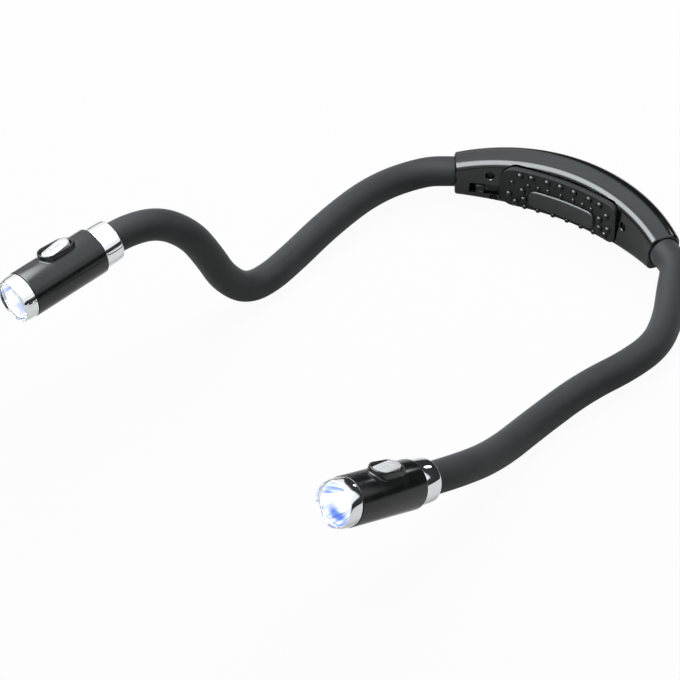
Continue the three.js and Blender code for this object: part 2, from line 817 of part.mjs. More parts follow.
function seriesContact() {
  return contactPlate(-1, bayMiddle, contact.plateHeight + cell.spacing).add(contactSpring(-1, upperCell));
}

function negativeTerminal() {
  return contactPlate(1, lowerCell, contact.plateHeight).add(contactSpring(1, lowerCell));
}

// One loom from arm core to arm core, behind the cells
function batteryLeads(radius) {
  const end = socketShare - (collar.gap + collar.length + fit.seat + radius) / halfArc;
  const behind = handle.midRear - handle.rearTuck - handle.wall - 2 * lead.radius;
  const places = [
    [-end, 0], [-lead.turnShare, lead.bowReach], [-lead.cellShare, behind], [0, behind - lead.radius],
    [lead.cellShare, behind], [lead.turnShare, lead.bowReach], [end, 0],
  ];
  const points = places.map(([share, out]) => handlePoint(share, out, lead.height));
  return tube(points, radius, lead.sides, lead.steps);
}

// The lamp heads, made along +Y with the switch on +Z

const barrelBack = lamp.ferruleLength + fit.seat;
const barrelFront = barrelBack + lamp.barrelLength;
const bezelBack = barrelFront + fit.seat;
const bezelFront = bezelBack + lamp.bezelLength;
const barrelBore = lamp.barrelRadius - lamp.wall;
const spigotRadius = barrelBore - fit.seat;
const bezelBore = lamp.bezelRadius - lamp.bezelWall;
const pocketBack = bezelBack + lamp.bezelWall;
const rockerCentre = barrelBack + rocker.centreShare * lamp.barrelLength;
const boardLength = driver.boardShare * lamp.barrelLength;
const spigotBack = bezelBack - lamp.spigotLength;
const lensBack = bezelFront - lamp.bezelLip - fit.seat - lamp.lensThickness;
const ledBoardBack = spigotBack - fit.seat - lamp.boardThickness;

function ferrule() {
  const bore = arm.radius + fit.seat;
  const web = arm.insert + fit.seat;
  const coreBore = arm.coreRadius + fit.seat;
  const front = lamp.ferruleLength + lamp.spigotLength;
  const round = lamp.ferruleRound;
  return turned([
    [bore, 0], [lamp.ferruleRadius - round, 0], [lamp.ferruleRadius - round / 3, round / 3],
    [lamp.ferruleRadius, round], [lamp.ferruleRadius, lamp.ferruleLength],
    [spigotRadius, lamp.ferruleLength], [spigotRadius, front], [coreBore, front], [coreBore, web],
    [bore, web], [bore, 0],
  ]);
}

function switchOutline(gap) {
  const width = rocker.width + 2 * gap;
  return roundedOutline(width, rocker.length + 2 * gap, width / 2);
}

// Options for an extrusion with its edges cut back by a length
function eased(round) {
  return {
    bevelEnabled: true, bevelSize: round, bevelThickness: round, bevelOffset: -round, bevelSegments: 1,
  };
}

function extruded(outline, depth, options) {
  return new THREE.ExtrudeGeometry(outline, { depth, curveSegments: rocker.curveSteps, ...options });
}

function upright(outline, from, to, options = { bevelEnabled: false }) {
  return solid(extruded(outline, to - from, options).translate(0, rockerCentre, from));
}

function pinBar(radius, reach) {
  const length = rocker.width + 2 * reach;
  const pin = new THREE.CylinderGeometry(radius, radius, length, rocker.pinSides).rotateZ(Math.PI / 2);
  return solid(pin.translate(0, rockerCentre, rocker.pivotHeight));
}

function barrel() {
  const r = lamp.barrelRadius;
  const body = turned([
    [barrelBore, barrelBack], [r - lamp.chamfer, barrelBack], [r, barrelBack + lamp.chamfer],
    [r, barrelFront - lamp.chamfer / 2], [r - lamp.chamfer / 2, barrelFront], [barrelBore, barrelFront],
    [barrelBore, barrelBack],
  ]);
  const above = rocker.rimTop + rocker.rimWall + fit.overrun;
  const slot = upright(switchOutline(rocker.clearance), lamp.barrelRadius / 3, above);
  const reach = rocker.clearance + rocker.pinReach + rocker.pinClearance;
  const pinHoles = pinBar(rocker.pinRadius + rocker.pinClearance, reach);
  return body.add(switchRim()).subtract(slot).subtract(pinHoles);
}

// The raised lip round the switch, lower at the back
function switchRim() {
  const round = rocker.rimRound;
  const outline = switchOutline(rocker.clearance + rocker.rimWall);
  const rise = extruded(outline, rocker.rimTop - rocker.bottom - round, eased(round));
  rise.translate(0, 0, rocker.bottom - rocker.rimTop).rotateX(radians(rocker.rimAngle));
  const inside = cylinder(lamp.barrelRadius - lamp.wall / 2, lamp.barrelLength, lamp.sides, rockerCentre);
  return solid(rise.translate(0, rockerCentre, rocker.rimTop)).subtract(inside);
}

// The rocker as it stands when level; its group tilts it about the pins
function switchButton() {
  const round = rocker.rimRound;
  const body = upright(switchOutline(0), rocker.bottom + round, rocker.top - round, eased(round));
  const mark = block(rocker.markWidth, rocker.markLength, 2 * rocker.markDepth,
    new THREE.Vector3(0, rockerCentre, rocker.top));
  return body.add(pinBar(rocker.pinRadius, rocker.clearance + rocker.pinReach)).subtract(mark);
}

function bezelRing() {
  const lipRadius = bezelBore - lamp.lipInset;
  const spigotBore = spigotRadius - lamp.spigotWall;
  return turned([
    [spigotBore, spigotBack], [spigotRadius, spigotBack], [spigotRadius, bezelBack],
    [lamp.bezelRadius, bezelBack], [lamp.bezelRadius, bezelFront - lamp.chamfer],
    [lamp.bezelRadius - lamp.chamfer, bezelFront], [lipRadius, bezelFront],
    [lipRadius, bezelFront - lamp.bezelLip], [bezelBore, bezelFront - lamp.bezelLip],
    [bezelBore, pocketBack], [spigotBore, pocketBack], [spigotBore, spigotBack],
  ]);
}

function lens() {
  const radius = bezelBore - fit.seat;
  const front = lensBack + lamp.lensThickness;
  const crown = lamp.crownShares.map(
    (part) => [radius * part, front + lamp.lensCrown * (1 - part * part)]);
  return turned([
    [0, lensBack], [radius, lensBack], [radius, front], ...crown, [0, front + lamp.lensCrown],
  ]);
}

// A parabolic cup behind the lens with a throat for the light source
function reflector() {
  const mouth = lensBack - fit.seat;
  const throat = mouth - lamp.reflectorDepth;
  const steps = lamp.reflectorSteps;
  const curve = Array.from({ length: steps + 1 }, (_, i) => {
    const y = mix(throat, mouth, i / steps);
    const r2 = mix(lamp.reflectorThroat ** 2, lamp.reflectorMouth ** 2, i / steps);
    return [Math.sqrt(r2), y];
  });
  const outside = curve.map(([r, y]) => [r + lamp.reflectorWall, y]);
  return turned([...outside, ...curve.reverse(), outside[0]]);
}

function led() {
  const back = ledBoardBack + lamp.boardThickness + fit.seat;
  const shoulder = back + lamp.ledHeight - lamp.ledRadius;
  const dome = lamp.domeAngles.map((angle) => [
    lamp.ledRadius * Math.cos(radians(angle)), shoulder + lamp.ledRadius * Math.sin(radians(angle)),
  ]);
  return turned([
    [0, back], [lamp.ledFlange, back], [lamp.ledFlange, back + lamp.ledFlangeHeight],
    [lamp.ledRadius, back + lamp.ledFlangeHeight], ...dome, [0, shoulder + lamp.ledRadius],
  ], lamp.ledSides);
}

function ledBoard() {
  const middle = ledBoardBack + lamp.boardThickness / 2;
  return cylinder(barrelBore - fit.seat, lamp.boardThickness, lamp.sides, middle);
}

const boardTop = driver.boardHeight + lamp.boardThickness;

function circuitBoard() {
  return block(driver.boardWidth, boardLength, lamp.boardThickness,
    new THREE.Vector3(0, rockerCentre, boardTop - lamp.boardThickness / 2));
}

function switchBody() {
  const bottom = boardTop + fit.seat;
  const body = block(driver.switchWidth, driver.switchLength, driver.switchHeight,
    new THREE.Vector3(0, rockerCentre, bottom + driver.switchHeight / 2));
  const top = rocker.bottom - driver.postGap;
  const radius = driver.postRadius;
  const post = new THREE.CylinderGeometry(radius, radius, top - bottom, driver.postSides);
  return body.add(solid(post.rotateX(Math.PI / 2).translate(0, rockerCentre, (top + bottom) / 2)));
}

// A twin lead from the arm's core up onto the circuit board
function headLeads() {
  const start = lamp.ferruleLength + lamp.spigotLength / 2 + fit.seat + 2 * driver.wireRadius;
  const board = rockerCentre - boardLength / 2;
  const top = boardTop + fit.seat + driver.wireRadius;
  const half = driver.wireRadius * Math.cos(Math.PI / lead.sides);
  return joined([-half, half].map((x) => tube([
    new THREE.Vector3(x, start, 0),
    new THREE.Vector3(x, mix(start, board, driver.wireBendShare), top),
    new THREE.Vector3(x, board + 2 * driver.wireRadius, top),
    new THREE.Vector3(x, board + 4 * driver.wireRadius, top),
  ], driver.wireRadius, lead.sides, driver.wireSteps)));
}

function addLamp(parent, route) {
  const head = new THREE.Group();
  const forward = route.aimAt(arm.length);
  const level = new THREE.Vector3().crossVectors(forward, new THREE.Vector3(0, 0, 1)).normalize();
  const up = new THREE.Vector3().crossVectors(level, forward);
  head.matrixAutoUpdate = false;
  head.matrix.makeBasis(level, forward, up)
    .multiply(new THREE.Matrix4().makeRotationY(radians(rollAngles[route.side])))
    .setPosition(route.pointAt(arm.length));
  head.name = `${route.side}_head`;
  parent.add(head);

  const name = (part) => `${route.side}_${part}`;
  piece(head, name('ferrule'), ferrule(), chrome);
  piece(head, name('barrel'), barrel(), glossBlack);
  piece(head, name('switch_body'), switchBody(), satinBlack);
  piece(head, name('circuit_board'), circuitBoard(), boardGreen);
  piece(head, name('head_leads'), headLeads(), wireRed);
  piece(head, name('led_board'), ledBoard(), boardGreen);
  piece(head, name('led'), led(), ledWhite);
  piece(head, name('reflector'), reflector(), chrome);
  piece(head, name('lens'), lens(), clear);
  piece(head, name('bezel_ring'), bezelRing(), chrome);

  const pivot = new THREE.Group();
  pivot.name = `${route.side}_rocker_pivot`;
  pivot.position.set(0, rockerCentre, rocker.pivotHeight);
  pivot.rotation.x = -radians(rocker.tiltAngle);
  head.add(pivot);
  const level0 = switchButton().transform(
    new THREE.Matrix4().makeTranslation(0, -rockerCentre, -rocker.pivotHeight).toArray());
  piece(pivot, name('switch_button'), level0, silver);
}

// The whole light

const light = new THREE.Group();
const walls = handleWalls();
piece(light, 'inner_shell', innerShell(walls), glossBlack);
piece(light, 'outer_shell', outerShell(walls), glossBlack);
screwPlaces.forEach((place, i) => piece(light, `shell_screw_${i + 1}`, shellScrew(place), steel));
piece(light, 'battery_door', batteryDoor(), satinBlack);
piece(light, 'door_label_plate', labelPlate(), satinBlack);
piece(light, 'door_latch', doorLatch(), satinBlack);
piece(light, 'battery_cell_lower', cellAt(-1, lowerCell), cellJacket);
piece(light, 'battery_cell_upper', cellAt(1, upperCell), cellJacket);
piece(light, 'series_contact', seriesContact(), steel);
piece(light, 'positive_terminal', contactPlate(1, upperCell, contact.plateHeight), steel);
piece(light, 'negative_terminal', negativeTerminal(), steel);
piece(light, 'battery_leads', batteryLeads(lead.radius), wireRed);

for (const side of ['left', 'right']) {
  const route = armRoute(side);
  addArm(light, route);
  addLamp(light, route);
}

export default light;
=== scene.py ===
import bpy
import bmesh
from math import acos, asin, atan2, cos, degrees, exp, pi, radians, sin, sqrt, tan
from mathutils import Matrix, Vector


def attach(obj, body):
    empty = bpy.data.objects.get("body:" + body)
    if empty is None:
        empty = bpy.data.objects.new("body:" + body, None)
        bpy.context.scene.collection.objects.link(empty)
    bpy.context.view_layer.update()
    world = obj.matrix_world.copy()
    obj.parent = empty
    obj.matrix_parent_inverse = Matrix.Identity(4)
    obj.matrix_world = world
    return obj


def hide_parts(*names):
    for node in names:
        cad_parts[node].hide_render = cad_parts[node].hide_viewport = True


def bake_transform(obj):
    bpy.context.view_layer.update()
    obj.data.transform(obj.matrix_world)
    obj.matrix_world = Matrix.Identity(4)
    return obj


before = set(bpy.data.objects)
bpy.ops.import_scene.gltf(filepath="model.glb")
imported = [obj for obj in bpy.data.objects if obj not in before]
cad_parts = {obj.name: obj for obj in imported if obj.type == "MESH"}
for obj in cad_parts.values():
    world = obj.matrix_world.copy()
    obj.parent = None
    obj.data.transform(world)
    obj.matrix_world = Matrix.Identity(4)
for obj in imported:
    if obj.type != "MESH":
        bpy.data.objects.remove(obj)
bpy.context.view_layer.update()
mm = 0.001
print("frame loaded:", len(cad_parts), "nodes")


def lengths(**millimetres):
    # settings given in millimetres, kept in metres
    return {name: value * mm for name, value in millimetres.items()}


# Sizes and places of the object's pieces, as in the CAD part

handle = {
    "halfTurn": radians(34), "footShare": 0.3, "rings": 110,
    # radii of the section's corners: neck side and rear at the floor, rear and neck side at the top
    "cornerRadii": (4 * mm, 6 * mm, 7.5 * mm, 5.5 * mm),
    **lengths(halfChord=66, wall=1.8, endFloor=2.5, endTop=21.5, midTop=28.8, endRear=10.3, midRear=12.8,
              endEdge=-7.9, midEdge=-8.3, endFace=-9.6, midFace=-12, endSplit=6.4, midSplit=8.2, rearTuck=2,
              socketHeight=12.5, halfSeam=0.2, plugDepth=10, lipRadius=1.2, seat=0.3, boreGap=0.5, insideGap=0.2,
              bulkheadAt=27.4, bulkheadWall=1.5, cutSize=40),
}
arm = {
    "stationShares": [0.2, 0.45, 0.7, 0.93], "sides": 64, "samples": 400,
    **lengths(length=268, radius=8.25, neckRadius=7.4, neckDepth=8, insert=6.4, blendReach=22, lastReach=12,
              lap=0.5, spacing=1.5),
}
# Where each arm points: share of its length, degrees outwards from -Y, degrees of climb
bendShares = {
    "left": [
        (0, 56, 0), (0.03, 56, 0), (0.07, 41, -5.5), (0.15, 14, 4.5), (0.25, 5.5, -1.5), (0.4, 1.5, -6),
        (0.5, 0.5, 0), (0.55, 13, -1), (0.62, 18, 43.5), (0.7, 17.5, 64), (0.78, 25, 59.5), (0.86, 32, 36),
        (0.93, 24.5, 5.5), (1, 13.5, -6),
    ],
    "right": [
        (0, 56, 0), (0.03, 56, 0), (0.08, 22, -6.5), (0.16, 25, -3.5), (0.26, 13, 1.5), (0.34, -12.5, -3),
        (0.42, -19, 0), (0.55, -8.5, 0), (0.7, 0, 9), (0.85, -1.5, 22.5), (1, -12.5, 19),
    ],
}
switchRoll = {"left": radians(10), "right": 0}
lamp = {
    "sides": 128,
    # painted blue glow in the reflector, standing in for the LED's light: degrees round it, spread, share of its
    # depth, reach, strength
    "paintedGlowCrescents": [(-100, 42, 0.5, 0.22, 1.3), (108, 16, 0.85, 0.15, 1.2), (40, 13, 0.8, 0.15, 1.2),
                  (-70, 30, 0.95, 0.1, 0.7), (175, 12, 0.7, 0.2, 0.8)],
    **lengths(barrelRadius=12.4, barrelLength=44.8, wall=2, seat=0.3, backRound=2.2, edgeRound=0.35,
              ferruleRadius=11.2, ferruleLength=10.8, crown=0.3, coreBore=3.3, bezelRadius=12.1, bezelLength=7.2,
              bezelWall=0.9, bezelLip=1.2, lipInset=0.25, lipFace=0.15, noseReach=6.6, spigotLength=4, spigotWall=1,
              lensThickness=1.3, lensCrown=0.8, reflectorDepth=8.3, reflectorMouth=10.2, reflectorThroat=3.4,
              reflectorWall=0.5, ledRadius=2.5, ledHeight=6.6, ledFoot=2.8, ledFootHeight=1, boardThickness=1.6),
}
rocker = {
    "centreShare": 0.46, "tilt": radians(7), "lipSlope": radians(4),
    **lengths(length=16.8, width=8, clearance=0.7, bottom=9.3, top=14.2, pivotHeight=10.2, lipTop=14.3,
              markLength=6, markWidth=1, markDepth=1.2),
}
door = {
    # radii at the hinge and at the latch, steps along each straight side, rings of the face in mm inwards
    "corners": (5.5 * mm, 8 * mm), "straights": 60, "rings": (1, 2.5, 4, 5.5, 7, 8.5, 10, 11, 11.9),
    **lengths(centre=-2.1, length=72.8, height=24.6, centreHeight=13, gap=0.3, thickness=2.6, rise=0.7,
              backShift=12.8, nubRadius=2.2, smallNubRadius=1.5, nubSink=0.4, rebate=0.5, rebateDepth=0.8),
}
label = {
    "corners": (4 * mm, 4 * mm), "straights": 40, "rings": (1.6, 2.6, 3.6, 4.6, 5.1),
    **lengths(centre=-1.1, length=40.8, height=10.6, centreHeight=9.1, thickness=1.2),
}
latch = lengths(outset=8.9, centreHeight=8.6, length=7.2, height=5, travel=2.5, tongueLength=8.6, blockLength=4.4,
                sunk=1.3)
screw = {
    # how far to the right of the nearer end of the door each one is, and its height
    "places": [(-5.8 * mm, 16.8 * mm), (-2.8 * mm, 3.4 * mm), (3.7 * mm, 15.2 * mm)],
    **lengths(headRadius=2, headHeight=1.5, shankRadius=1.1, length=13, clearance=0.3, sink=1.6, pillarRadius=3.2,
              pillarBore=1.4, pillarFront=3.4),
}
# Nubs of the neck pad: shares of the door's half length and half height
nubShares = [
    (-0.69, 0.69), (-0.51, 0.7), (-0.26, 0.7), (-0.04, 0.7), (0.2, 0.7), (0.47, 0.7), (0.67, 0.68),
    (-0.65, -0.07), (-0.85, -0.37), (-0.75, -0.72), (-0.62, -0.5), (0.68, -0.06), (0.85, -0.36),
    (0.81, 0.3), (0.69, -0.5), (0.8, -0.7),
]
smallNubShares = [
    (-0.81, 0.27), (-0.56, 0.27), (-0.4, 0.27), (-0.24, 0.27), (-0.02, 0.27), (0.19, 0.27), (0.36, 0.27),
    (0.52, 0.25), (-0.6, -0.9), (-0.39, -0.92), (-0.14, -0.92), (0.1, -0.92), (0.35, -0.92), (0.58, -0.9),
]


def lerp(a, b, t):
    return a + (b - a) * t


def valuesAt(table, at):
    # the values at a place between the table's rows, each of which gives its own place first
    k = max(1, next(i for i, row in enumerate(table) if row[0] >= at))
    low, high = table[k - 1], table[k]
    t = (at - low[0]) / (high[0] - low[0])
    return [lerp(a, b, t) for a, b in zip(low[1:], high[1:])]


def linked(item):
    bpy.context.collection.objects.link(item)
    return item


def makeObject(name, verts, faces):
    mesh = bpy.data.meshes.new(name)
    mesh.from_pydata([tuple(v) for v in verts], [], faces)
    mesh.validate()
    return linked(bpy.data.objects.new(name, mesh))


def setAttribute(item, name, values):
    # one value for each of the mesh's points
    attribute = item.data.attributes.new(name, "FLOAT", "POINT")
    for i, value in enumerate(values):
        attribute.data[i].value = value


def ringFaces(count, rings, closed=False):
    # quads between rings of equal count; a closed run joins the last ring to the first
    pairs = [(r, (r + 1) % rings) for r in range(rings if closed else rings - 1)]
    return [(a * count + i, a * count + (i + 1) % count, b * count + (i + 1) % count, b * count + i)
            for a, b in pairs for i in range(count)]


def addNode(tree, kind, feeds=None, **settings):
    # a node with its settings; each feed is a plain value or the socket that drives that input
    node = tree.nodes.new(kind)
    for key, value in settings.items():
        setattr(node, key, value)
    for socket, value in (feeds or {}).items():
        if isinstance(value, bpy.types.NodeSocket):
            tree.links.new(value, node.inputs[socket])
        else:
            node.inputs[socket].default_value = value
    return node


def addMath(tree, operation, *feeds):
    return addNode(tree, "ShaderNodeMath", dict(enumerate(feeds)), operation=operation).outputs[0]


def newMaterial(name, values):
    material = bpy.data.materials.new(name)
    material.use_nodes = True
    shader = material.node_tree.nodes["Principled BSDF"]
    for socket, value in values.items():
        shader.inputs[socket].default_value = value
    return material, material.node_tree, shader


# Camera, backdrop and studio

view = {"focal": 3200, "frame": 680, "at": (686.7 * mm, -1247.45 * mm, 1034.6 * mm),
        "aim": (-0.43848, 0.6493, -0.6214)}
studio = {
    "worldLight": 0.15, "lookAt": (0, -0.1, 0.03),
    # the floor's size, colour, and the shares of its lit surface and of its white in mirrors
    "floorHalf": 1.0, "floorColor": (0.9, 0.9, 0.9, 1), "floorShare": 0.05, "floorMirrored": 0.3,
    # name, size, power, place, seen in mirrors
    "lamps": [
        ("backLight", 2.2, 42, (-0.5, 1.35, 1.7), False),
        ("frontLight", 1.0, 2.2, (-0.3, -0.6, 1.2), False),
        ("ovalLight", 0.2, 0.5, (0.15, 0.84, 0.56), True),
    ],
    # name, place, size, roll in degrees, glow
    "cards": [
        ("ceiling", (0, 0, 1.5), (5, 5), 0, 1.65),
        ("softBox", (-0.48, -0.5, 1.02), (2.5, 1.5), 12, 13),
    ],
    # the wall's levels: share of its height and glow; its heights: degrees round it and metres
    "wall": {"radius": 0.98, "levels": [(0, 0.02), (0.8, 0.04), (1, 1)],
             "heights": [(-60, 0.1), (-30, 0.38), (28, 0.4), (42, 0.75), (56, 1.1), (75, 1.2), (98, 1.1), (114, 0.75),
                         (126, 0.2), (300, 0.1)]},
}


def addCamera():
    data = bpy.data.cameras.new("photoCamera")
    data.sensor_width = 36
    data.lens = view["focal"] * data.sensor_width / view["frame"]
    data.clip_start = 0.01
    camera = linked(bpy.data.objects.new("photoCamera", data))
    camera.location = view["at"]
    camera.rotation_euler = Vector(view["aim"]).to_track_quat("-Z", "Y").to_euler()
    bpy.context.scene.camera = camera


def showWhite(tree, surface, white, mirrored, most):
    # the camera and glass see plain white, mirrors a share of it; other rays see the lit surface
    ray = addNode(tree, "ShaderNodeLightPath").outputs
    seen = addMath(tree, "MAXIMUM", ray["Is Camera Ray"], ray["Is Transmission Ray"])
    share = addMath(tree, "MULTIPLY", addMath(tree, "MULTIPLY_ADD", ray["Is Glossy Ray"], mirrored, seen), most)
    return addNode(tree, "ShaderNodeMixShader", {0: share, 1: surface.outputs[0], 2: white.outputs[0]}).outputs[0]


def addWorld():
    world = bpy.data.worlds.new("studioWorld")
    bpy.context.scene.world = world
    world.use_nodes = True
    tree = world.node_tree
    tree.nodes.clear()
    soft = addNode(tree, "ShaderNodeBackground", {"Strength": studio["worldLight"]})
    white = addNode(tree, "ShaderNodeBackground", {"Color": (1, 1, 1, 1)})
    addNode(tree, "ShaderNodeOutputWorld", {"Surface": showWhite(tree, soft, white, 1, 1)})


def addFloor():
    size = studio["floorHalf"]
    floor = makeObject("floor", [(-size, -size, 0), (size, -size, 0), (size, size, 0), (-size, size, 0)],
                       [(0, 1, 2, 3)])
    material, tree, shader = newMaterial("floorWhite", {
        "Base Color": studio["floorColor"], "Roughness": 0.8, "Specular IOR Level": 0.1})
    white = addNode(tree, "ShaderNodeEmission")
    surface = showWhite(tree, shader, white, studio["floorMirrored"], 1 - studio["floorShare"])
    tree.links.new(surface, tree.nodes["Material Output"].inputs["Surface"])
    floor.data.materials.append(material)


def facing(at):
    return (Vector(studio["lookAt"]) - Vector(at)).to_track_quat("-Z", "Y").to_euler()


def addLamp(name, size, power, at, mirrored):
    data = bpy.data.lights.new(name, "AREA")
    data.shape = "DISK"
    data.size = size
    data.energy = power
    light = linked(bpy.data.objects.new(name, data))
    light.location = at
    light.rotation_euler = facing(at)
    light.visible_glossy = mirrored


def makeGlow():
    # emission as strong as each point's own attribute says
    material, tree, shader = newMaterial("studioGlow", {
        "Base Color": (0.01, 0.01, 0.01, 1), "Specular IOR Level": 0, "Emission Color": (0.93, 0.99, 1, 1)})
    level = addNode(tree, "ShaderNodeAttribute", attribute_name="glow")
    tree.links.new(level.outputs["Fac"], shader.inputs["Emission Strength"])
    return material


studioGlow = makeGlow()


def addMirrored(name, rings):
    # rings of points, each with its glow, joined into a sheet that shows in glossy surfaces only
    sheet = makeObject(name, [point for ring, _ in rings for point in ring],
                       ringFaces(len(rings[0][0]), len(rings)))
    setAttribute(sheet, "glow", [level for ring, level in rings for _ in ring])
    sheet.data.materials.append(studioGlow)
    for ray in ("camera", "diffuse", "transmission", "shadow"):
        setattr(sheet, f"visible_{ray}", False)
    return sheet


def around(radiusX, radiusY, heightAt, count=72):
    first = studio["wall"]["heights"][0][0]
    turns = [first + 360 * i / count for i in range(count)]
    return [(radiusX * cos(radians(t)), radiusY * sin(radians(t)), heightAt(t)) for t in turns]


def addCard(name, at, size, roll, glow):
    # a soft-edged ellipse, turned about its own axis by the roll in degrees
    fades = [(0.01, glow), (0.55, glow), (0.8, (glow + 1) / 2), (1, 1)]
    card = addMirrored(name, [(around(size[0] / 2 * share, size[1] / 2 * share, lambda turn: 0), level)
                              for share, level in fades])
    card.location = at
    card.rotation_euler = (facing(at).to_matrix() @ Matrix.Rotation(radians(roll), 3, "Z")).to_euler()


def addWall():
    # the dark rim of the studio, high at the back and low at the left
    wall = studio["wall"]
    r = wall["radius"]
    addMirrored("studioWall", [(around(r, r, lambda turn: share * valuesAt(wall["heights"], turn)[0]), level)
                               for share, level in wall["levels"]])


bpy.context.scene.view_settings.view_transform = "Standard"
addCamera()
addWorld()
addFloor()
for settings in studio["lamps"]:
    addLamp(*settings)
for settings in studio["cards"]:
    addCard(*settings)
addWall()
print("camera, floor and lights placed")


# Node groups and trees, and the effects that several finishes share

def nodeTree(name, treeType, inputs, outputs):
    tree = bpy.data.node_groups.new(name, treeType)
    for direction, sockets in (("INPUT", inputs), ("OUTPUT", outputs)):
        for title, kind, *value in sockets:
            socket = tree.interface.new_socket(title, in_out=direction, socket_type="NodeSocket" + kind)
            if value:
                socket.default_value = value[0]
    return tree, tree.nodes.new("NodeGroupInput").outputs, tree.nodes.new("NodeGroupOutput").inputs


def makeGrainGroup():
    # fine moulded or foamed grain as a height
    tree, start, end = nodeTree("mouldGrain", "ShaderNodeTree", [
        ("Scale", "Float", 900.0), ("Unevenness", "Float", 0.4)], [("Height", "Float")])
    place = addNode(tree, "ShaderNodeTexCoord").outputs["Object"]
    fine = addNode(tree, "ShaderNodeTexNoise", {
        "Vector": place, "Scale": start["Scale"], "Detail": 3, "Roughness": 0.6})
    coarser = addMath(tree, "MULTIPLY", start["Scale"], 0.12)
    broad = addNode(tree, "ShaderNodeTexNoise", {"Vector": place, "Scale": coarser})
    both = addMath(tree, "MULTIPLY_ADD", broad.outputs["Fac"], start["Unevenness"], fine.outputs["Fac"])
    tree.links.new(both, end["Height"])
    return tree


def makeWearGroup():
    # roughness that is a little higher where handling has dulled the surface
    tree, start, end = nodeTree("handlingWear", "ShaderNodeTree", [
        ("Base Roughness", "Float", 0.1), ("Dulled Roughness", "Float", 0.2), ("Scale", "Float", 60.0)],
        [("Roughness", "Float"), ("Mask", "Float")])
    place = addNode(tree, "ShaderNodeTexCoord").outputs["Object"]
    smear = addNode(tree, "ShaderNodeTexNoise", {
        "Vector": place, "Scale": start["Scale"], "Detail": 4, "Distortion": 0.8})
    mask = addNode(tree, "ShaderNodeMapRange", {
        "Value": smear.outputs["Fac"], "From Min": 0.42, "From Max": 0.72}).outputs[0]
    level = addNode(tree, "ShaderNodeMapRange", {
        "Value": mask, "To Min": start["Base Roughness"], "To Max": start["Dulled Roughness"]})
    tree.links.new(level.outputs[0], end["Roughness"])
    tree.links.new(mask, end["Mask"])
    return tree


grainGroup = makeGrainGroup()
wearGroup = makeWearGroup()


def tint(material, mask, low, high, *sockets):
    # a colour that goes from low to high with the mask, into the shader's named sockets
    tree = material.node_tree
    color = addNode(tree, "ShaderNodeMix", {"A": (*low, 1), "B": (*high, 1), "Factor": mask}, data_type="RGBA")
    for socket in sockets:
        tree.links.new(color.outputs["Result"], tree.nodes["Principled BSDF"].inputs[socket])


def finish(name, low, high, rough, wearScale=60, grain=None, constants=None):
    # a colour that varies a little, roughness that follows handling, and optional moulded grain
    # given as its scale, unevenness and depth
    material, tree, shader = newMaterial(name, constants or {})
    wear = addNode(tree, "ShaderNodeGroup", {
        "Base Roughness": rough[0], "Dulled Roughness": rough[1], "Scale": wearScale}, node_tree=wearGroup).outputs
    tree.links.new(wear["Roughness"], shader.inputs["Roughness"])
    tint(material, wear["Mask"], low, high, "Base Color")
    if grain:
        height = addNode(tree, "ShaderNodeGroup", {"Scale": grain[0], "Unevenness": grain[1]}, node_tree=grainGroup)
        bump = addNode(tree, "ShaderNodeBump", {
            "Strength": 1.0, "Distance": grain[2], "Height": height.outputs["Height"]})
        tree.links.new(bump.outputs["Normal"], shader.inputs["Normal"])
    return material


glossBlack = finish("glossBlack", (0.008, 0.0085, 0.009), (0.011, 0.0115, 0.012), (0.12, 0.2))
barrelBlack = finish("barrelBlack", (0.01, 0.0105, 0.011), (0.013, 0.0135, 0.014), (0.16, 0.24), wearScale=90)
doorBlack = finish("doorBlack", (0.012, 0.013, 0.013), (0.017, 0.018, 0.018), (0.3, 0.4),
                   grain=(1500, 0.3, 0.01 * mm), constants={"Specular IOR Level": 0.3})
plateBlack = finish("plateBlack", (0.034, 0.037, 0.037), (0.04, 0.043, 0.043), (0.32, 0.4),
                    grain=(2200, 0.2, 0.01 * mm))
screwBlack = finish("screwBlack", (0.012, 0.012, 0.012), (0.02, 0.02, 0.02), (0.45, 0.6), wearScale=200,
                    constants={"Specular IOR Level": 0.25})
nubBlack = finish("nubBlack", (0.006, 0.006, 0.006), (0.009, 0.009, 0.009), (0.18, 0.26),
                  constants={"Specular IOR Level": 0.35})
sleeveRubber = finish("sleeveRubber", (0.018, 0.019, 0.02), (0.024, 0.025, 0.026), (0.55, 0.65), wearScale=45,
                      grain=(1400, 0.5, 0.04 * mm),
                      constants={"Specular IOR Level": 0.25, "Sheen Weight": 0.08, "Sheen Roughness": 0.5})
chrome = finish("chrome", (0.86, 0.87, 0.88), (0.82, 0.83, 0.84), (0.02, 0.05), wearScale=120,
                constants={"Metallic": 1.0})
# the cup painted as lit: a painted white glow over the chrome, with painted blue glow in crescents where the piece's
# own attribute says; both stand in for the LED's light
reflectorGlow = finish("reflectorGlow", (0.9, 0.93, 1.0), (0.8, 0.86, 1.0), (0.06, 0.12), wearScale=200,
                       constants={"Metallic": 1.0, "Emission Strength": 0.3})
# painted blue glow of the crescents, read from the piece's own attribute
paintedBlueGlow = addNode(reflectorGlow.node_tree, "ShaderNodeAttribute", attribute_name="paintedBlueGlow")
tint(reflectorGlow, paintedBlueGlow.outputs["Fac"], (0.93, 0.96, 1.0), (0.06, 0.17, 0.8), "Base Color", "Emission Color")
switchSilver = finish("switchSilver", (0.88, 0.89, 0.9), (0.83, 0.84, 0.85), (0.22, 0.3), wearScale=150,
                      grain=(2500, 0.3, 0.008 * mm), constants={"Metallic": 0.25})
plainSteel = finish("plainSteel", (0.5, 0.51, 0.52), (0.42, 0.43, 0.44), (0.22, 0.34), wearScale=200,
                    constants={"Metallic": 1.0})
boardGreen = finish("boardGreen", (0.02, 0.1, 0.045), (0.03, 0.13, 0.06), (0.35, 0.45), grain=(700, 0.6, 0.03 * mm))
cellJacket = finish("cellJacket", (0.04, 0.07, 0.11), (0.05, 0.085, 0.13), (0.2, 0.3))
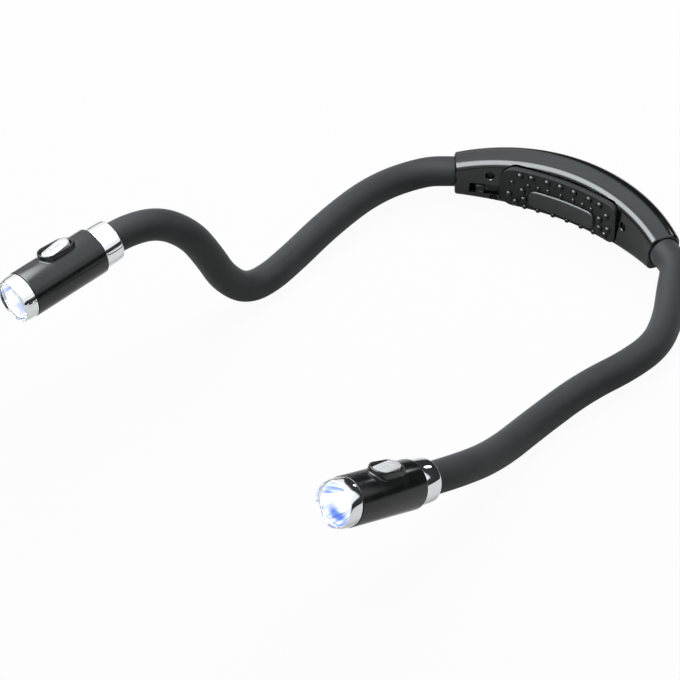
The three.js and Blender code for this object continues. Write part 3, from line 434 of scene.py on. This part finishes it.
leadRed = finish("leadRed", (0.25, 0.015, 0.012), (0.3, 0.02, 0.016), (0.35, 0.45))
lensClear = finish("lensClear", (0.97, 0.99, 1.0), (0.94, 0.97, 1.0), (0.0, 0.02),
                   constants={"Transmission Weight": 1.0, "IOR": 1.49})
# the lit dome: white at its tip, bluer down its side
ledGlow = finish("ledGlow", (0.85, 0.92, 1.0), (0.8, 0.88, 1.0), (0.08, 0.12), constants={"Emission Strength": 6})
domeSide = addNode(ledGlow.node_tree, "ShaderNodeLayerWeight", {"Blend": 0.35})
tint(ledGlow, domeSide.outputs["Facing"], (0.95, 0.98, 1.0), (0.35, 0.55, 1.0), "Emission Color")
print("finishes made")


# Mesh helpers

def closedBody(name, verts, faces, merge=0.0):
    # a body whose faces point outwards, its doubled points merged first
    item = makeObject(name, verts, faces)
    edit = bmesh.new()
    edit.from_mesh(item.data)
    if merge:
        bmesh.ops.remove_doubles(edit, verts=edit.verts, dist=merge)
    bmesh.ops.recalc_face_normals(edit, faces=edit.faces)
    edit.to_mesh(item.data)
    edit.free()
    return item


def fromEdit(name, edit):
    mesh = bpy.data.meshes.new(name)
    edit.to_mesh(mesh)
    edit.free()
    return linked(bpy.data.objects.new(name, mesh))


def evaluated(item):
    # the object with its modifiers taken into a plain mesh
    name = item.name
    bpy.context.view_layer.update()
    graph = bpy.context.evaluated_depsgraph_get()
    mesh = bpy.data.meshes.new_from_object(item.evaluated_get(graph), depsgraph=graph)
    mesh.name = name
    plain = linked(bpy.data.objects.new(name, mesh))
    bpy.data.objects.remove(item, do_unlink=True)
    plain.name = name
    return plain


def carved(item, tool, operation="DIFFERENCE"):
    cut = item.modifiers.new("cut", "BOOLEAN")
    cut.solver = "EXACT"
    cut.operation = operation
    cut.object = tool
    result = evaluated(item)
    bpy.data.objects.remove(tool, do_unlink=True)
    return result


def shadeSmooth(item, angle):
    weld = 0.004 * mm
    edit = bmesh.new()
    edit.from_mesh(item.data)
    bmesh.ops.remove_doubles(edit, verts=edit.verts, dist=weld)
    bmesh.ops.dissolve_degenerate(edit, edges=edit.edges, dist=weld)
    for face in edit.faces:
        face.smooth = True
    for edge in edit.edges:
        edge.smooth = len(edge.link_faces) == 2 and edge.calc_face_angle(0) < radians(angle)
    edit.to_mesh(item.data)
    edit.free()


def dressed(item, material, body, replaced=(), angle=30):
    item.data.materials.clear()
    item.data.materials.append(material)
    shadeSmooth(item, angle)
    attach(item, body)
    if replaced:
        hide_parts(*replaced)


def transformed(item, matrix):
    item.data.transform(matrix)
    item.data.update()
    return item


def lathe(name, outline, sides=lamp["sides"]):
    # [radius, y] points turned about Y; points on the axis close the ends
    verts, rings = [], []
    for radius, y in outline:
        if radius == 0:
            rings.append([len(verts)] * sides)
            verts.append((0, y, 0))
            continue
        rings.append(range(len(verts), len(verts) + sides))
        verts += [(radius * cos(2 * pi * i / sides), y, -radius * sin(2 * pi * i / sides)) for i in range(sides)]
    faces = []
    for a, b in zip(rings, rings[1:]):
        for i in range(sides):
            j = (i + 1) % sides
            corners = tuple(dict.fromkeys((a[i], a[j], b[j], b[i])))
            if len(corners) > 2:
                faces.append(corners)
    return closedBody(name, verts, faces, 0.001 * mm)


def arcPoints(a, corner, b, steps):
    # a smooth turn from one point to the other, drawn towards the corner
    return [a * (1 - t) ** 2 + corner * 2 * t * (1 - t) + b * t * t for t in (k / steps for k in range(steps + 1))]


def rounded(outline, steps=4):
    # an outline of (r, y, radius) points whose inner corners are rounded by their radius
    points = []
    for i, (r, y, reach) in enumerate(outline):
        here = Vector((r, y))
        if i in (0, len(outline) - 1) or reach == 0:
            points.append(tuple(here))
            continue
        before = Vector(outline[i - 1][:2]) - here
        after = Vector(outline[i + 1][:2]) - here
        reach = min(reach, before.length * 0.45, after.length * 0.45)
        arc = arcPoints(here + before.normalized() * reach, here, here + after.normalized() * reach, steps)
        points += [tuple(point) for point in arc]
    return points


def obround(length, width, count=64):
    # points round a slot shape, long side on Y, from the outline's right, turning left
    straight = (length - width) / 2
    points = []
    for i in range(count):
        angle = 2 * pi * i / count
        lift = straight if sin(angle) > 0 else -straight
        points.append((width / 2 * cos(angle), width / 2 * sin(angle) + (lift if abs(sin(angle)) > 1e-9 else 0)))
    return points


def roundBox(name, size, at, radius):
    # a block with rounded edges
    edit = bmesh.new()
    bmesh.ops.create_cube(edit, size=1, matrix=Matrix.Translation(at) @ Matrix.Diagonal((*size, 1)))
    bmesh.ops.bevel(edit, geom=edit.edges[:], offset=radius, segments=3, profile=0.5, affect="EDGES")
    return fromEdit(name, edit)


def together(name, items):
    # several closed bodies as one object
    edit = bmesh.new()
    for item in items:
        edit.from_mesh(item.data)
        bpy.data.objects.remove(item, do_unlink=True)
    return fromEdit(name, edit)


def loft(name, rings):
    count = len(rings[0])
    ends = [tuple(reversed(range(count))), tuple(range((len(rings) - 1) * count, len(rings) * count))]
    return closedBody(name, [p for ring in rings for p in ring], ringFaces(count, len(rings)) + ends)


def stack(name, outlines):
    # a loft through flat outlines, each with its height
    return loft(name, [[(x, y, z) for x, y in outline] for outline, z in outlines])


def stepsDown(top, *rows):
    # a profile from rows of millimetres inwards and down from the top
    return [(inset * mm, top - drop * mm) for inset, drop in rows]


# The handle's form, as in the CAD part

arcRadius = handle["halfChord"] / sin(handle["halfTurn"])
halfArc = arcRadius * handle["halfTurn"]


def handlePoint(share, outwards, height):
    angle = share * handle["halfTurn"]
    r = arcRadius + outwards
    return Vector((r * sin(angle), r * cos(angle) - arcRadius, height))


def handleSizes(share):
    swell = 1 - share * share
    lifted = max(0, abs(share) - handle["footShare"]) / (1 - handle["footShare"])
    sizes = {name.lower(): lerp(handle["end" + name], handle["mid" + name], swell)
             for name in ("Top", "Rear", "Edge", "Face", "Split")}
    return {"floor": handle["endFloor"] * lifted * lifted, **sizes}


def faceAt(share, height):
    s = handleSizes(share)
    return lerp(s["face"], s["edge"], (height - s["floor"]) / (s["top"] - s["floor"]))


def sectionPoints(share, grow, steps=8, between=5):
    s = handleSizes(share)
    corners = [Vector(place) for place in (
        (s["face"], s["floor"]), (s["rear"] - handle["rearTuck"], s["floor"]), (s["rear"], s["top"]),
        (s["edge"], s["top"]))]
    count = len(corners)
    sides = []
    for i, point in enumerate(corners):
        along = (corners[(i + 1) % count] - point).normalized()
        sides.append((point + Vector((along.y, -along.x)) * grow, along))
    arcs = []
    for i, (start, along) in enumerate(sides):
        before, way = sides[i - 1]
        gap = start - before
        corner = before + way * ((gap.x * along.y - gap.y * along.x) / (way.x * along.y - way.y * along.x))
        turn = acos(max(-1, min(1, way.dot(along))))
        reach = max(handle["cornerRadii"][i] + grow, handle["wall"] / 4) * tan(turn / 2)
        arcs.append(arcPoints(corner - way * reach, corner, corner + along * reach, steps))
    points = []
    for i, arc in enumerate(arcs):
        after = arcs[(i + 1) % count][0]
        points += arc + [arc[-1].lerp(after, k / between) for k in range(1, between)]
    return points


def handleForm(name, grow, reachShare=1.0, lip=0.0):
    # the handle grown outwards, with ends that round over where there is a lip
    rings = handle["rings"]
    shares = [reachShare * (2 * i / rings - 1) for i in range(rings + 1)]
    loops = [(share, grow) for share in shares if not lip or (reachShare - abs(share)) * halfArc > lip]
    if lip:
        for k in range(7):
            away = lip * (1 - cos(k / 6 * pi / 2))
            inset = lip - sqrt(max(0, lip * lip - (lip - away) ** 2))
            loops += [(sign * (reachShare - away / halfArc), grow - inset) for sign in (-1, 1)]
        loops.sort()
    return loft(name, [[handlePoint(share, p.x, p.y) for p in sectionPoints(share, offset)]
                       for share, offset in loops])


def rearRegion(name, shift):
    # everything outside the seam between the shells, moved outwards by the shift
    size, rings = handle["cutSize"], handle["rings"]
    past = 1 + 1 * mm / halfArc
    loops = []
    for share in [past * (2 * i / rings - 1) for i in range(rings + 1)]:
        split = handleSizes(max(-1, min(1, share)))["split"] + shift
        corners = ((split, -size), (size, -size), (size, size), (split, size))
        loops.append([handlePoint(share, x, z) for x, z in corners])
    return loft(name, loops)


def facePrism(name, outline, x, height, shift):
    # a prism along Y through the face, from an outline seen from the front
    rings = [[(x + px, y, height + pz) for px, pz in outline] for y in (-handle["cutSize"], 0)]
    return carved(loft(name, rings), rearRegion("rear", -shift))


def roundedOutline(length, height, radius, leftRadius=None, steps=12, straights=1):
    # points round the outline from the middle of its right side, turning left
    left = radius if leftRadius is None else leftRadius
    corners = []
    for sx, sz, r, start in ((1, 1, radius, 0), (-1, 1, left, 90), (-1, -1, left, 180), (1, -1, radius, 270)):
        cx, cz = sx * (length / 2 - r), sz * (height / 2 - r)
        turns = [radians(start + 90 * k / steps) for k in range(steps + 1)]
        corners.append([Vector((cx + r * cos(turn), cz + r * sin(turn))) for turn in turns])
    points = [Vector((length / 2, 0))]
    ends = [2, straights, 4, straights, 2]
    for i, arc in enumerate(corners):
        before = points[-1]
        points += [before.lerp(arc[0], k / ends[i]) for k in range(1, ends[i])] + arc
    points += [points[-1].lerp(points[0], k / ends[4]) for k in range(1, ends[4])]
    return points


def plateOutline(plate, inset):
    corners = [max(0.05 * mm, corner - inset) for corner in plate["corners"]]
    return roundedOutline(plate["length"] - 2 * inset, plate["height"] - 2 * inset, *corners,
                          straights=plate["straights"])


def surfacePoint(x, z, grow):
    # where the handle's neck side, moved outwards, stands over a given X and height
    share = x / handle["halfChord"]
    for _ in range(3):
        section = sectionPoints(share, grow, between=1)
        best = section[0].x
        for a, b in zip(section, section[1:] + section[:1]):
            if a.x < 0 and min(a.y, b.y) <= z <= max(a.y, b.y) and a.y != b.y:
                best = min(best, a.x + (b.x - a.x) * (z - a.y) / (b.y - a.y))
        share = asin(x / (arcRadius + best)) / handle["halfTurn"]
    return handlePoint(share, best, z)


def panel(name, plate, gap, back, face, edge):
    # a plate that follows the handle's neck side: from the middle of its back, round its edge, to the
    # middle of its face; the edge gives each ring's inset and its offset from the handle
    insets = [inset * mm for inset in plate["rings"]]
    profile = [(inset, back) for inset in (*insets[::-1], 0)] + edge + [(inset, face) for inset in insets]
    rings = [[surfacePoint(plate["centre"] + p.x, plate["centreHeight"] + p.y, grow)
              for p in plateOutline(plate, gap + inset)] for inset, grow in profile]
    count = len(rings[0])
    half = count // 2
    faces = ringFaces(count, len(rings))
    for base in (0, (len(rings) - 1) * count):
        faces += [(base + k, base + k + 1, base + count - k - 1, base + count - k) for k in range(1, half - 1)]
        faces += [(base, base + 1, base + count - 1), (base + half - 1, base + half, base + half + 1)]
    return closedBody(name, [p for ring in rings for p in ring], faces)


def onFace(item, x, height):
    # an item made at the origin, moved to the handle's neck side and turned with it
    share = 0.0
    for _ in range(4):
        share = asin(x / (arcRadius + faceAt(share, height))) / handle["halfTurn"]
    place = Matrix.Translation(handlePoint(share, faceAt(share, height), height))
    return transformed(item, place @ Matrix.Rotation(-share * handle["halfTurn"], 4, "Z"))


# The arms

def armRoute(side):
    sign = -1 if side == "left" else 1
    length, samples = arm["length"], arm["samples"]

    def aim(share):
        out, climb = map(radians, valuesAt(bendShares[side], max(0, min(1, share))))
        return Vector((sign * sin(out) * cos(climb), -cos(out) * cos(climb), sin(climb)))

    points = [handlePoint(sign, 0, handle["socketHeight"])]
    for i in range(samples):
        points.append(points[i] + aim((i + 0.5) / samples) * (length / samples))

    def pointAt(distance):
        if distance <= 0:
            return points[0] + aim(0) * distance
        if distance >= length:
            return points[-1] + aim(1) * (distance - length)
        at = distance / length * samples
        i = min(samples - 1, int(at))
        return points[i].lerp(points[i + 1], at - i)

    return {"pointAt": pointAt, "endAim": aim(1)}


def geometryTree(name, inputs):
    geometry = ("Geometry", "Geometry")
    return nodeTree(name, "GeometryNodeTree", [geometry, *inputs, ("Material", "Material")], [geometry])


def closeTree(tree, geometry, start, end):
    # every tree ends in Realize Instances and Set Material
    realize = addNode(tree, "GeometryNodeRealizeInstances", {"Geometry": geometry})
    paint = addNode(tree, "GeometryNodeSetMaterial", {
        "Geometry": realize.outputs["Geometry"], "Material": start["Material"]})
    tree.links.new(paint.outputs["Geometry"], end["Geometry"])
    return tree


def useTree(item, tree, values):
    modifier = item.modifiers.new(tree.name, "NODES")
    modifier.node_group = tree
    for socket in tree.interface.items_tree:
        if socket.item_type == "SOCKET" and socket.in_out == "INPUT" and socket.name in values:
            modifier[socket.identifier] = values[socket.name]
    return evaluated(item)


def makeSleeveTree():
    tree, start, end = geometryTree("sleeveAlongRoute", [("Radius", "Float", 0.008), ("Sides", "Int", 64)])
    profile = addNode(tree, "GeometryNodeCurvePrimitiveCircle", {
        "Radius": start["Radius"], "Resolution": start["Sides"]})
    sweep = addNode(tree, "GeometryNodeCurveToMesh", {
        "Curve": start["Geometry"], "Profile Curve": profile.outputs["Curve"], "Fill Caps": True})
    return closeTree(tree, sweep.outputs["Mesh"], start, end)


sleeveTree = makeSleeveTree()


def sleeveStretch(name, route, begins, stops, radius):
    steps = max(2, round((stops - begins) / arm["spacing"]))
    curve = bpy.data.curves.new(name, "CURVE")
    curve.dimensions = "3D"
    curve.twist_mode = "Z_UP"
    spline = curve.splines.new("POLY")
    spline.points.add(steps)
    for i in range(steps + 1):
        spline.points[i].co = (*route["pointAt"](lerp(begins, stops, i / steps)), 1)
    item = linked(bpy.data.objects.new(name, curve))
    return useTree(item, sleeveTree, {"Radius": radius, "Sides": arm["sides"], "Material": sleeveRubber})


def addSleeve(side, route):
    # one stretch over each station, the stretches lapping where they meet, and a thinner neck inside the handle
    stations = [share * arm["length"] for share in arm["stationShares"]]
    middles = [(a + b) / 2 for a, b in zip(stations, stations[1:])]
    begins = [handle["seat"]] + middles
    stops = [middle + arm["lap"] for middle in middles] + [arm["length"] + arm["insert"]]
    for i, station in enumerate(stations):
        item = sleeveStretch(f"{side}Sleeve{i + 1}", route, begins[i], stops[i], arm["radius"])
        item.data.shade_smooth()
        replaced = [f"{side}_sleeve_{i + 1}"] + ([f"{side}_sleeve_5"] if i == 3 else [])
        reach = arm["lastReach"] if i == 3 else arm["blendReach"]
        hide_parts(*replaced)
        tuple(route["pointAt"](station - reach))
        tuple(route["pointAt"](station + reach))
        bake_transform(item)
    neck = sleeveStretch(f"{side}Neck", route, -arm["neckDepth"], handle["seat"], arm["neckRadius"])
    neck.data.shade_smooth()
    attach(neck, "handle")


routes = {side: armRoute(side) for side in ("left", "right")}
for side, route in routes.items():
    addSleeve(side, route)
print("sleeves made")


# The lamp heads, made along +Y with the switch on +Z

barrelBack = lamp["ferruleLength"] + lamp["seat"]
barrelFront = barrelBack + lamp["barrelLength"]
bezelBack = barrelFront + lamp["seat"]
bezelFront = bezelBack + lamp["bezelLength"]
barrelBore = lamp["barrelRadius"] - lamp["wall"]
spigotRadius = barrelBore - lamp["seat"]
bezelBore = lamp["bezelRadius"] - lamp["bezelWall"]
spigotBack = bezelBack - lamp["spigotLength"]
lensBack = bezelFront - lamp["bezelLip"] - lamp["seat"] - lamp["lensThickness"]
ledBoardBack = spigotBack - lamp["seat"] - lamp["boardThickness"]
rockerCentre = barrelBack + rocker["centreShare"] * lamp["barrelLength"]
slotSize = [rocker[size] + 2 * rocker["clearance"] for size in ("length", "width")]


def ferruleMesh(name):
    bore = arm["radius"] + lamp["seat"]
    web = arm["insert"] + lamp["seat"]
    r, front = lamp["ferruleRadius"], lamp["ferruleLength"]
    low = r - lamp["crown"]
    spigot = front + lamp["spigotLength"]
    crown = [(r - lamp["crown"] * (1 - 4 * t * (1 - t)), t * front, 0) for t in (0.12, 0.25, 0.4, 0.6, 0.75, 0.88)]
    return lathe(name, rounded([
        (bore, web, 0), (bore, 0, 0.2 * mm), (low, 0, 0.9 * mm), *crown, (low, front, lamp["edgeRound"]),
        (spigotRadius, front, 0), (spigotRadius, spigot, 0), (lamp["coreBore"], spigot, 0), (lamp["coreBore"], web, 0),
        (bore, web, 0)]))


def barrelMesh(name):
    r = lamp["barrelRadius"]
    body = lathe(name, rounded([
        (barrelBore, barrelBack, 0), (r, barrelBack, lamp["backRound"]), (r, barrelFront, lamp["edgeRound"]),
        (barrelBore, barrelFront, 0), (barrelBore, barrelBack, 0)]))
    hole = [(x, y + rockerCentre) for x, y in obround(*(size + 0.6 * mm for size in slotSize))]
    return carved(body, stack("slot", [(hole, 4 * mm), (hole, 17 * mm)]))


def switchLip(name):
    # the raised lip: an inner wall, a rounded top and an outer side that flares into the barrel
    count = 96
    # millimetres outwards from the slot, and the share of the way up from the barrel to the lip's top
    profile = [(0, "bottom"), (0, 0.8), (0.08, 0.92), (0.25, 0.98), (0.5, 1.0), (0.8, 0.98), (1.0, 0.92),
               (1.12, 0.8), (1.2, 0.5), (1.28, 0.25), (1.45, 0.09), (1.75, 0.02), (2.1, 0.0), (2.0, "under")]
    verts = []
    for out, rule in profile:
        for x, y in obround(*(size + 2 * out * mm for size in slotSize), count):
            surface = sqrt(max(0, lamp["barrelRadius"] ** 2 - x * x))
            top = rocker["lipTop"] + y * tan(rocker["lipSlope"])
            if rule == "bottom":
                z = rocker["bottom"] - 0.4 * mm
            elif rule == "under":
                z = surface - 0.8 * mm
            else:
                z = lerp(surface - 0.03 * mm, max(top, surface + 0.5 * mm), rule)
            verts.append((x, y + rockerCentre, z))
    return closedBody(name, verts, ringFaces(count, len(profile), closed=True))


def buttonMesh(name):
    # a pillow-topped rocker with a plain bar sunk in it
    top = rocker["top"]
    profile = [(0, rocker["bottom"]),
               *stepsDown(top, (0, 0.8), (0.12, 0.35), (0.4, 0.12), (0.9, 0.02), (2.2, -0.06))]
    body = stack(name, [(obround(rocker["length"] - 2 * inset, rocker["width"] - 2 * inset, 72), z)
                        for inset, z in profile])
    mark = obround(rocker["markLength"], rocker["markWidth"], 24)
    low = top - rocker["markDepth"]
    body = carved(body, stack("mark", [(mark, low), (mark, low + 2 * mm)]))
    pivot = Vector((0, 0, rocker["pivotHeight"]))
    turn = Matrix.Translation(pivot) @ Matrix.Rotation(-rocker["tilt"], 4, "X") @ Matrix.Translation(-pivot)
    return transformed(body, Matrix.Translation((0, rockerCentre, 0)) @ turn)


def bezelMesh(name):
    # a spigot behind, a nose that rounds in towards the lens, and a lip that holds the lens
    r, reach = lamp["bezelRadius"], lamp["noseReach"]
    lip = bezelBore - lamp["lipInset"]
    lipBack = bezelFront - lamp["bezelLip"]
    spigotBore = spigotRadius - lamp["spigotWall"]
    pocket = bezelBack + lamp["bezelWall"]
    fall = r - lip - lamp["lipFace"]
    nose = [(r - fall * (1 - cos(t)), bezelFront - reach * (1 - sin(t)), 0) for t in map(radians, range(0, 91, 9))]
    return lathe(name, rounded([
        (spigotBore, spigotBack, 0), (spigotRadius, spigotBack, 0), (spigotRadius, bezelBack, 0),
        (r, bezelBack, 0.4 * mm), *nose, (lip, bezelFront, 0), (lip, lipBack, 0), (bezelBore, lipBack, 0),
        (bezelBore, pocket, 0), (spigotBore, pocket, 0), (spigotBore, spigotBack, 0)]))


def lensMesh(name):
    radius = bezelBore - lamp["seat"]
    front = lensBack + lamp["lensThickness"]
    steps = 12
    crown = [(radius * (1 - k / steps), front + lamp["lensCrown"] * (1 - (1 - k / steps) ** 2))
             for k in range(1, steps + 1)]
    return lathe(name, [(0, lensBack), (radius, lensBack), (radius, front), *crown])


def reflectorMesh(name):
    # a parabolic cup, with each point's share of painted blue glow as its attribute
    mouth = lensBack - lamp["seat"]
    throat = mouth - lamp["reflectorDepth"]
    steps = 24
    curve = [(sqrt(lerp(lamp["reflectorThroat"] ** 2, lamp["reflectorMouth"] ** 2, i / steps)),
              lerp(throat, mouth, i / steps)) for i in range(steps + 1)]
    outside = [(r + lamp["reflectorWall"], y) for r, y in curve]
    item = lathe(name, outside + curve[::-1] + [outside[0]])

    # the share of painted blue glow at a point, from the crescent table
    def paintedGlowAt(point):
        angle = degrees(atan2(point.z, -point.x))
        depth = (point.y - throat) / (mouth - throat)
        return min(1, sum(peak * exp(-((angle - middle) / spread) ** 2 - ((depth - at) / reach) ** 2)
                          for middle, spread, at, reach, peak in lamp["paintedGlowCrescents"]))

    setAttribute(item, "paintedBlueGlow", [paintedGlowAt(vertex.co) for vertex in item.data.vertices])
    return item


def ledMesh(name):
    back = ledBoardBack + lamp["boardThickness"] + lamp["seat"]
    r, foot = lamp["ledRadius"], back + lamp["ledFootHeight"]
    shoulder = back + lamp["ledHeight"] - r
    dome = [(r * cos(k / 12 * pi / 2), shoulder + r * sin(k / 12 * pi / 2)) for k in range(12)]
    return lathe(name, [(0, back), (lamp["ledFoot"], back), (lamp["ledFoot"], foot), (r, foot), *dome,
                        (0, shoulder + r)], 64)


def headMatrix(side):
    forward = routes[side]["endAim"]
    level = forward.cross(Vector((0, 0, 1))).normalized()
    basis = Matrix((level, forward, level.cross(forward))).transposed().to_4x4()
    place = Matrix.Translation(routes[side]["pointAt"](arm["length"]))
    return place @ basis @ Matrix.Rotation(switchRoll[side], 4, "Y")


def addHead(side):
    place = headMatrix(side)
    for title, node, make, material, slot, angle in (
            ("Ferrule", "ferrule", ferruleMesh, chrome, "chrome", 35),
            ("BezelRing", "bezel_ring", bezelMesh, chrome, "chrome", 35),
            ("Lens", "lens", lensMesh, lensClear, "lens_clear", 35),
            ("Reflector", "reflector", reflectorMesh, reflectorGlow, "chrome", 35),
            ("Led", "led", ledMesh, ledGlow, "led_white", 35),
            ("Barrel", "barrel", barrelMesh, barrelBlack, "gloss_black", 30),
            ("SwitchLip", None, switchLip, barrelBlack, "gloss_black", 50),
            ("SwitchButton", "switch_button", buttonMesh, switchSilver, "switch_silver", 40)):
        item = transformed(make(f"{side}{title}"), place)
        body = f"{side}_button" if title == "SwitchButton" else f"{side}_lamp"
        dressed(item, material, body, [f"{side}_{node}"] if node else [], angle)


for side in routes:
    addHead(side)
print("lamp heads made")


# The handle's shells and door

doorEnds = [door["centre"] + side * door["length"] / 2 for side in (-1, 1)]
latchCentre = doorEnds[0] - latch["outset"]
handleDepth = handle["midRear"] - handle["midFace"]


def atScrew(item, place):
    outset, height = place
    return onFace(item, doorEnds[0 if outset < 0 else 1] + outset, height)


def shellWalls(name):
    outer = handleForm(name, 0, lip=handle["lipRadius"])
    outer = carved(outer, handleForm("cavity", -handle["wall"], 1 - handle["plugDepth"] / halfArc))
    for route in routes.values():
        outer = carved(outer, sleeveStretch("bore", route, -arm["neckDepth"] - handle["seat"], 2 * mm,
                                            arm["radius"] + handle["boreGap"]))
    return outer


def latchSlot(name):
    gap = 2 * door["gap"]
    start = latchCentre - latch["length"] / 2 - latch["travel"] - gap
    length = doorEnds[0] + door["corners"][1] - start
    outline = roundedOutline(length, latch["height"] + gap, gap)
    return facePrism(name, outline, start + length / 2, latch["centreHeight"], door["backShift"])


def doorHole(name, grow, shift):
    return facePrism(name, plateOutline(door, -grow), door["centre"], door["centreHeight"], shift)


def addShells():
    inner = carved(shellWalls("innerShell"), rearRegion("rear", -handle["halfSeam"]))
    inner = carved(inner, doorHole("doorHole", 0, door["backShift"] - door["gap"]))
    rebate = doorHole("rebate", door["rebate"], door["backShift"])
    inner = carved(inner, carved(rebate, handleForm("core", -door["rebateDepth"])))
    inner = carved(inner, latchSlot("latchSlot"))
    r, deep = screw["headRadius"] + screw["clearance"], 3.3 * mm
    for place in screw["places"]:
        hole = lathe("screwHole", [(0, -3 * mm), (r + 0.5 * mm, -3 * mm), (r + 0.5 * mm, -0.1 * mm), (r, 0.35 * mm),
                                   (r, deep), (0, deep)], 40)
        inner = carved(inner, atScrew(hole, place))
    dressed(inner, glossBlack, "handle", ["inner_shell"])
    outer = carved(shellWalls("outerShell"), rearRegion("rear", handle["halfSeam"]), "INTERSECT")
    dressed(outer, glossBlack, "handle", ["outer_shell"])


def addInside():
    # screw pillars and the bulkheads that carry the contacts
    inset = handle["insideGap"] - handle["wall"]
    ends = ((screw["pillarBore"], screw["pillarFront"]), (screw["pillarRadius"], screw["pillarFront"]),
            (screw["pillarRadius"], handleDepth), (screw["pillarBore"], handleDepth))
    for i, place in enumerate(screw["places"]):
        bar = atScrew(lathe(f"screwPillar{i + 1}", [*ends, ends[0]], 32), place)
        dressed(carved(bar, handleForm("inside", inset, 0.95), "INTERSECT"), glossBlack, "handle")
    for side, title in ((-1, "Left"), (1, "Right")):
        wall = roundBox(f"bulkhead{title}", (handle["bulkheadWall"], handleDepth, handle["midTop"]),
                        (side * handle["bulkheadAt"], handleDepth / 2 - 6.3 * mm, handle["midTop"] / 2), 0.1 * mm)
        dressed(carved(wall, handleForm("inside", inset), "INTERSECT"), glossBlack, "handle")


def addScrews():
    r, shank, top = screw["headRadius"], screw["shankRadius"], screw["sink"]
    under, tip = top + screw["headHeight"], top + screw["length"]
    for i, place in enumerate(screw["places"]):
        head = lathe(f"shellScrew{i + 1}", rounded([
            (0, top, 0), (r, top, 0.45 * mm), (r, under, 0.1 * mm), (shank, under, 0), (shank, tip, 0.2 * mm),
            (0, tip, 0)]), 40)
        for size in ((2.6 * mm, 1.6 * mm, 0.6 * mm), (0.6 * mm, 1.6 * mm, 2.6 * mm)):
            head = carved(head, roundBox("cross", size, (0, top, 0), 0.08 * mm))
        dressed(atScrew(head, place), screwBlack, "handle", [f"shell_screw_{i + 1}"])


def makeNubTree():
    # a rubber dome on every point, as large as the point's own radius says
    tree, start, end = geometryTree("nubsOnPoints", [])
    points = addNode(tree, "GeometryNodeMeshToPoints", {"Mesh": start["Geometry"]})
    dome = addNode(tree, "GeometryNodeMeshUVSphere", {"Segments": 28, "Rings": 16, "Radius": 1})
    smooth = addNode(tree, "GeometryNodeSetShadeSmooth", {"Geometry": dome.outputs["Mesh"]})
    size = addNode(tree, "GeometryNodeInputNamedAttribute", {"Name": "nubRadius"}, data_type="FLOAT")
    place = addNode(tree, "GeometryNodeInstanceOnPoints", {
        "Points": points.outputs["Points"], "Instance": smooth.outputs["Geometry"],
        "Scale": size.outputs["Attribute"]})
    return closeTree(tree, place.outputs["Instances"], start, end)


def addNubs():
    points = [(share, door[size]) for size, shares in (("nubRadius", nubShares), ("smallNubRadius", smallNubShares))
              for share in shares]
    places = [surfacePoint(door["centre"] + x * door["length"] / 2, door["centreHeight"] + z * door["height"] / 2,
                           door["rise"] - door["nubSink"]) for (x, z), _ in points]
    nubs = makeObject("neckPadNubs", places, [])
    setAttribute(nubs, "nubRadius", [radius for _, radius in points])
    nubs = useTree(nubs, makeNubTree(), {"Material": nubBlack})
    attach(nubs, "door")


def addDoor():
    rise = door["rise"]
    leaf = panel("batteryDoor", door, door["gap"], -door["thickness"], rise,
                 stepsDown(rise, (0, 0.35), (0.06, 0.16), (0.2, 0.04), (0.4, 0)))
    dressed(leaf, doorBlack, "door", ["battery_door"])
    addNubs()
    under = rise + door["gap"]
    top = under + label["thickness"]
    plate = panel("doorLabelPlate", label, 0, under, top,
                  [(0, under + 0.3 * mm), *stepsDown(top, (0.25, 0.45), (0.6, 0.14), (1.0, 0))])
    dressed(plate, plateBlack, "door", ["door_label_plate"])


def addLatch():
    # a dished thumb block, a step, a tongue towards the door and a flange behind the wall
    length, block, reach = latch["length"], latch["blockLength"], latch["tongueLength"]
    height, wall = latch["height"] - 0.3 * mm, handle["wall"]
    middle = (block - length) / 2
    tongue = reach + length - block
    raised = roundBox("raised", (block, wall + 1.4 * mm, height), (middle, wall / 2 - 0.3 * mm, 0), 0.3 * mm)
    dish = roundBox("dish", (block - 1.6 * mm, 0.9 * mm, height - 1.6 * mm), (middle, -1.2 * mm, 0), 0.3 * mm)
    whole = together("doorLatch", [
        carved(raised, dish),
        roundBox("step", (length - block + 0.4 * mm, wall - 0.7 * mm, 2 * mm),
                 (block / 2 - 0.2 * mm, wall / 2 + 0.8 * mm, -1.2 * mm), 0.2 * mm),
        roundBox("tongue", (tongue, 1.1 * mm, height - 0.3 * mm),
                 (length / 2 + reach - 0.3 * mm - tongue / 2, latch["sunk"] + 0.55 * mm, 0), 0.15 * mm),
        roundBox("flange", (6.8 * mm, 1.2 * mm, 6 * mm), (0, wall + 1.2 * mm, 0), 0.15 * mm)])
    dressed(onFace(whole, latchCentre, latch["centreHeight"]), doorBlack, "latch", ["door_latch"])


addShells()
addInside()
addScrews()
addDoor()
addLatch()
print("handle made")


# Finishes for the CAD nodes that show as they are

def paint(material, *names):
    for name in names:
        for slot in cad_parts[name].material_slots:
            slot.material = material


paint(plainSteel, "series_contact", "positive_terminal", "negative_terminal")
paint(cellJacket, "battery_cell_lower", "battery_cell_upper")
paint(leadRed, "battery_leads")
for side in routes:
    paint(plainSteel, *[f"{side}_core_{i}" for i in range(1, 6)], f"{side}_arm_collar")
    paint(doorBlack, f"{side}_switch_body")
    paint(boardGreen, f"{side}_circuit_board", f"{side}_led_board")
    paint(leadRed, f"{side}_head_leads")
print("inner pieces painted")
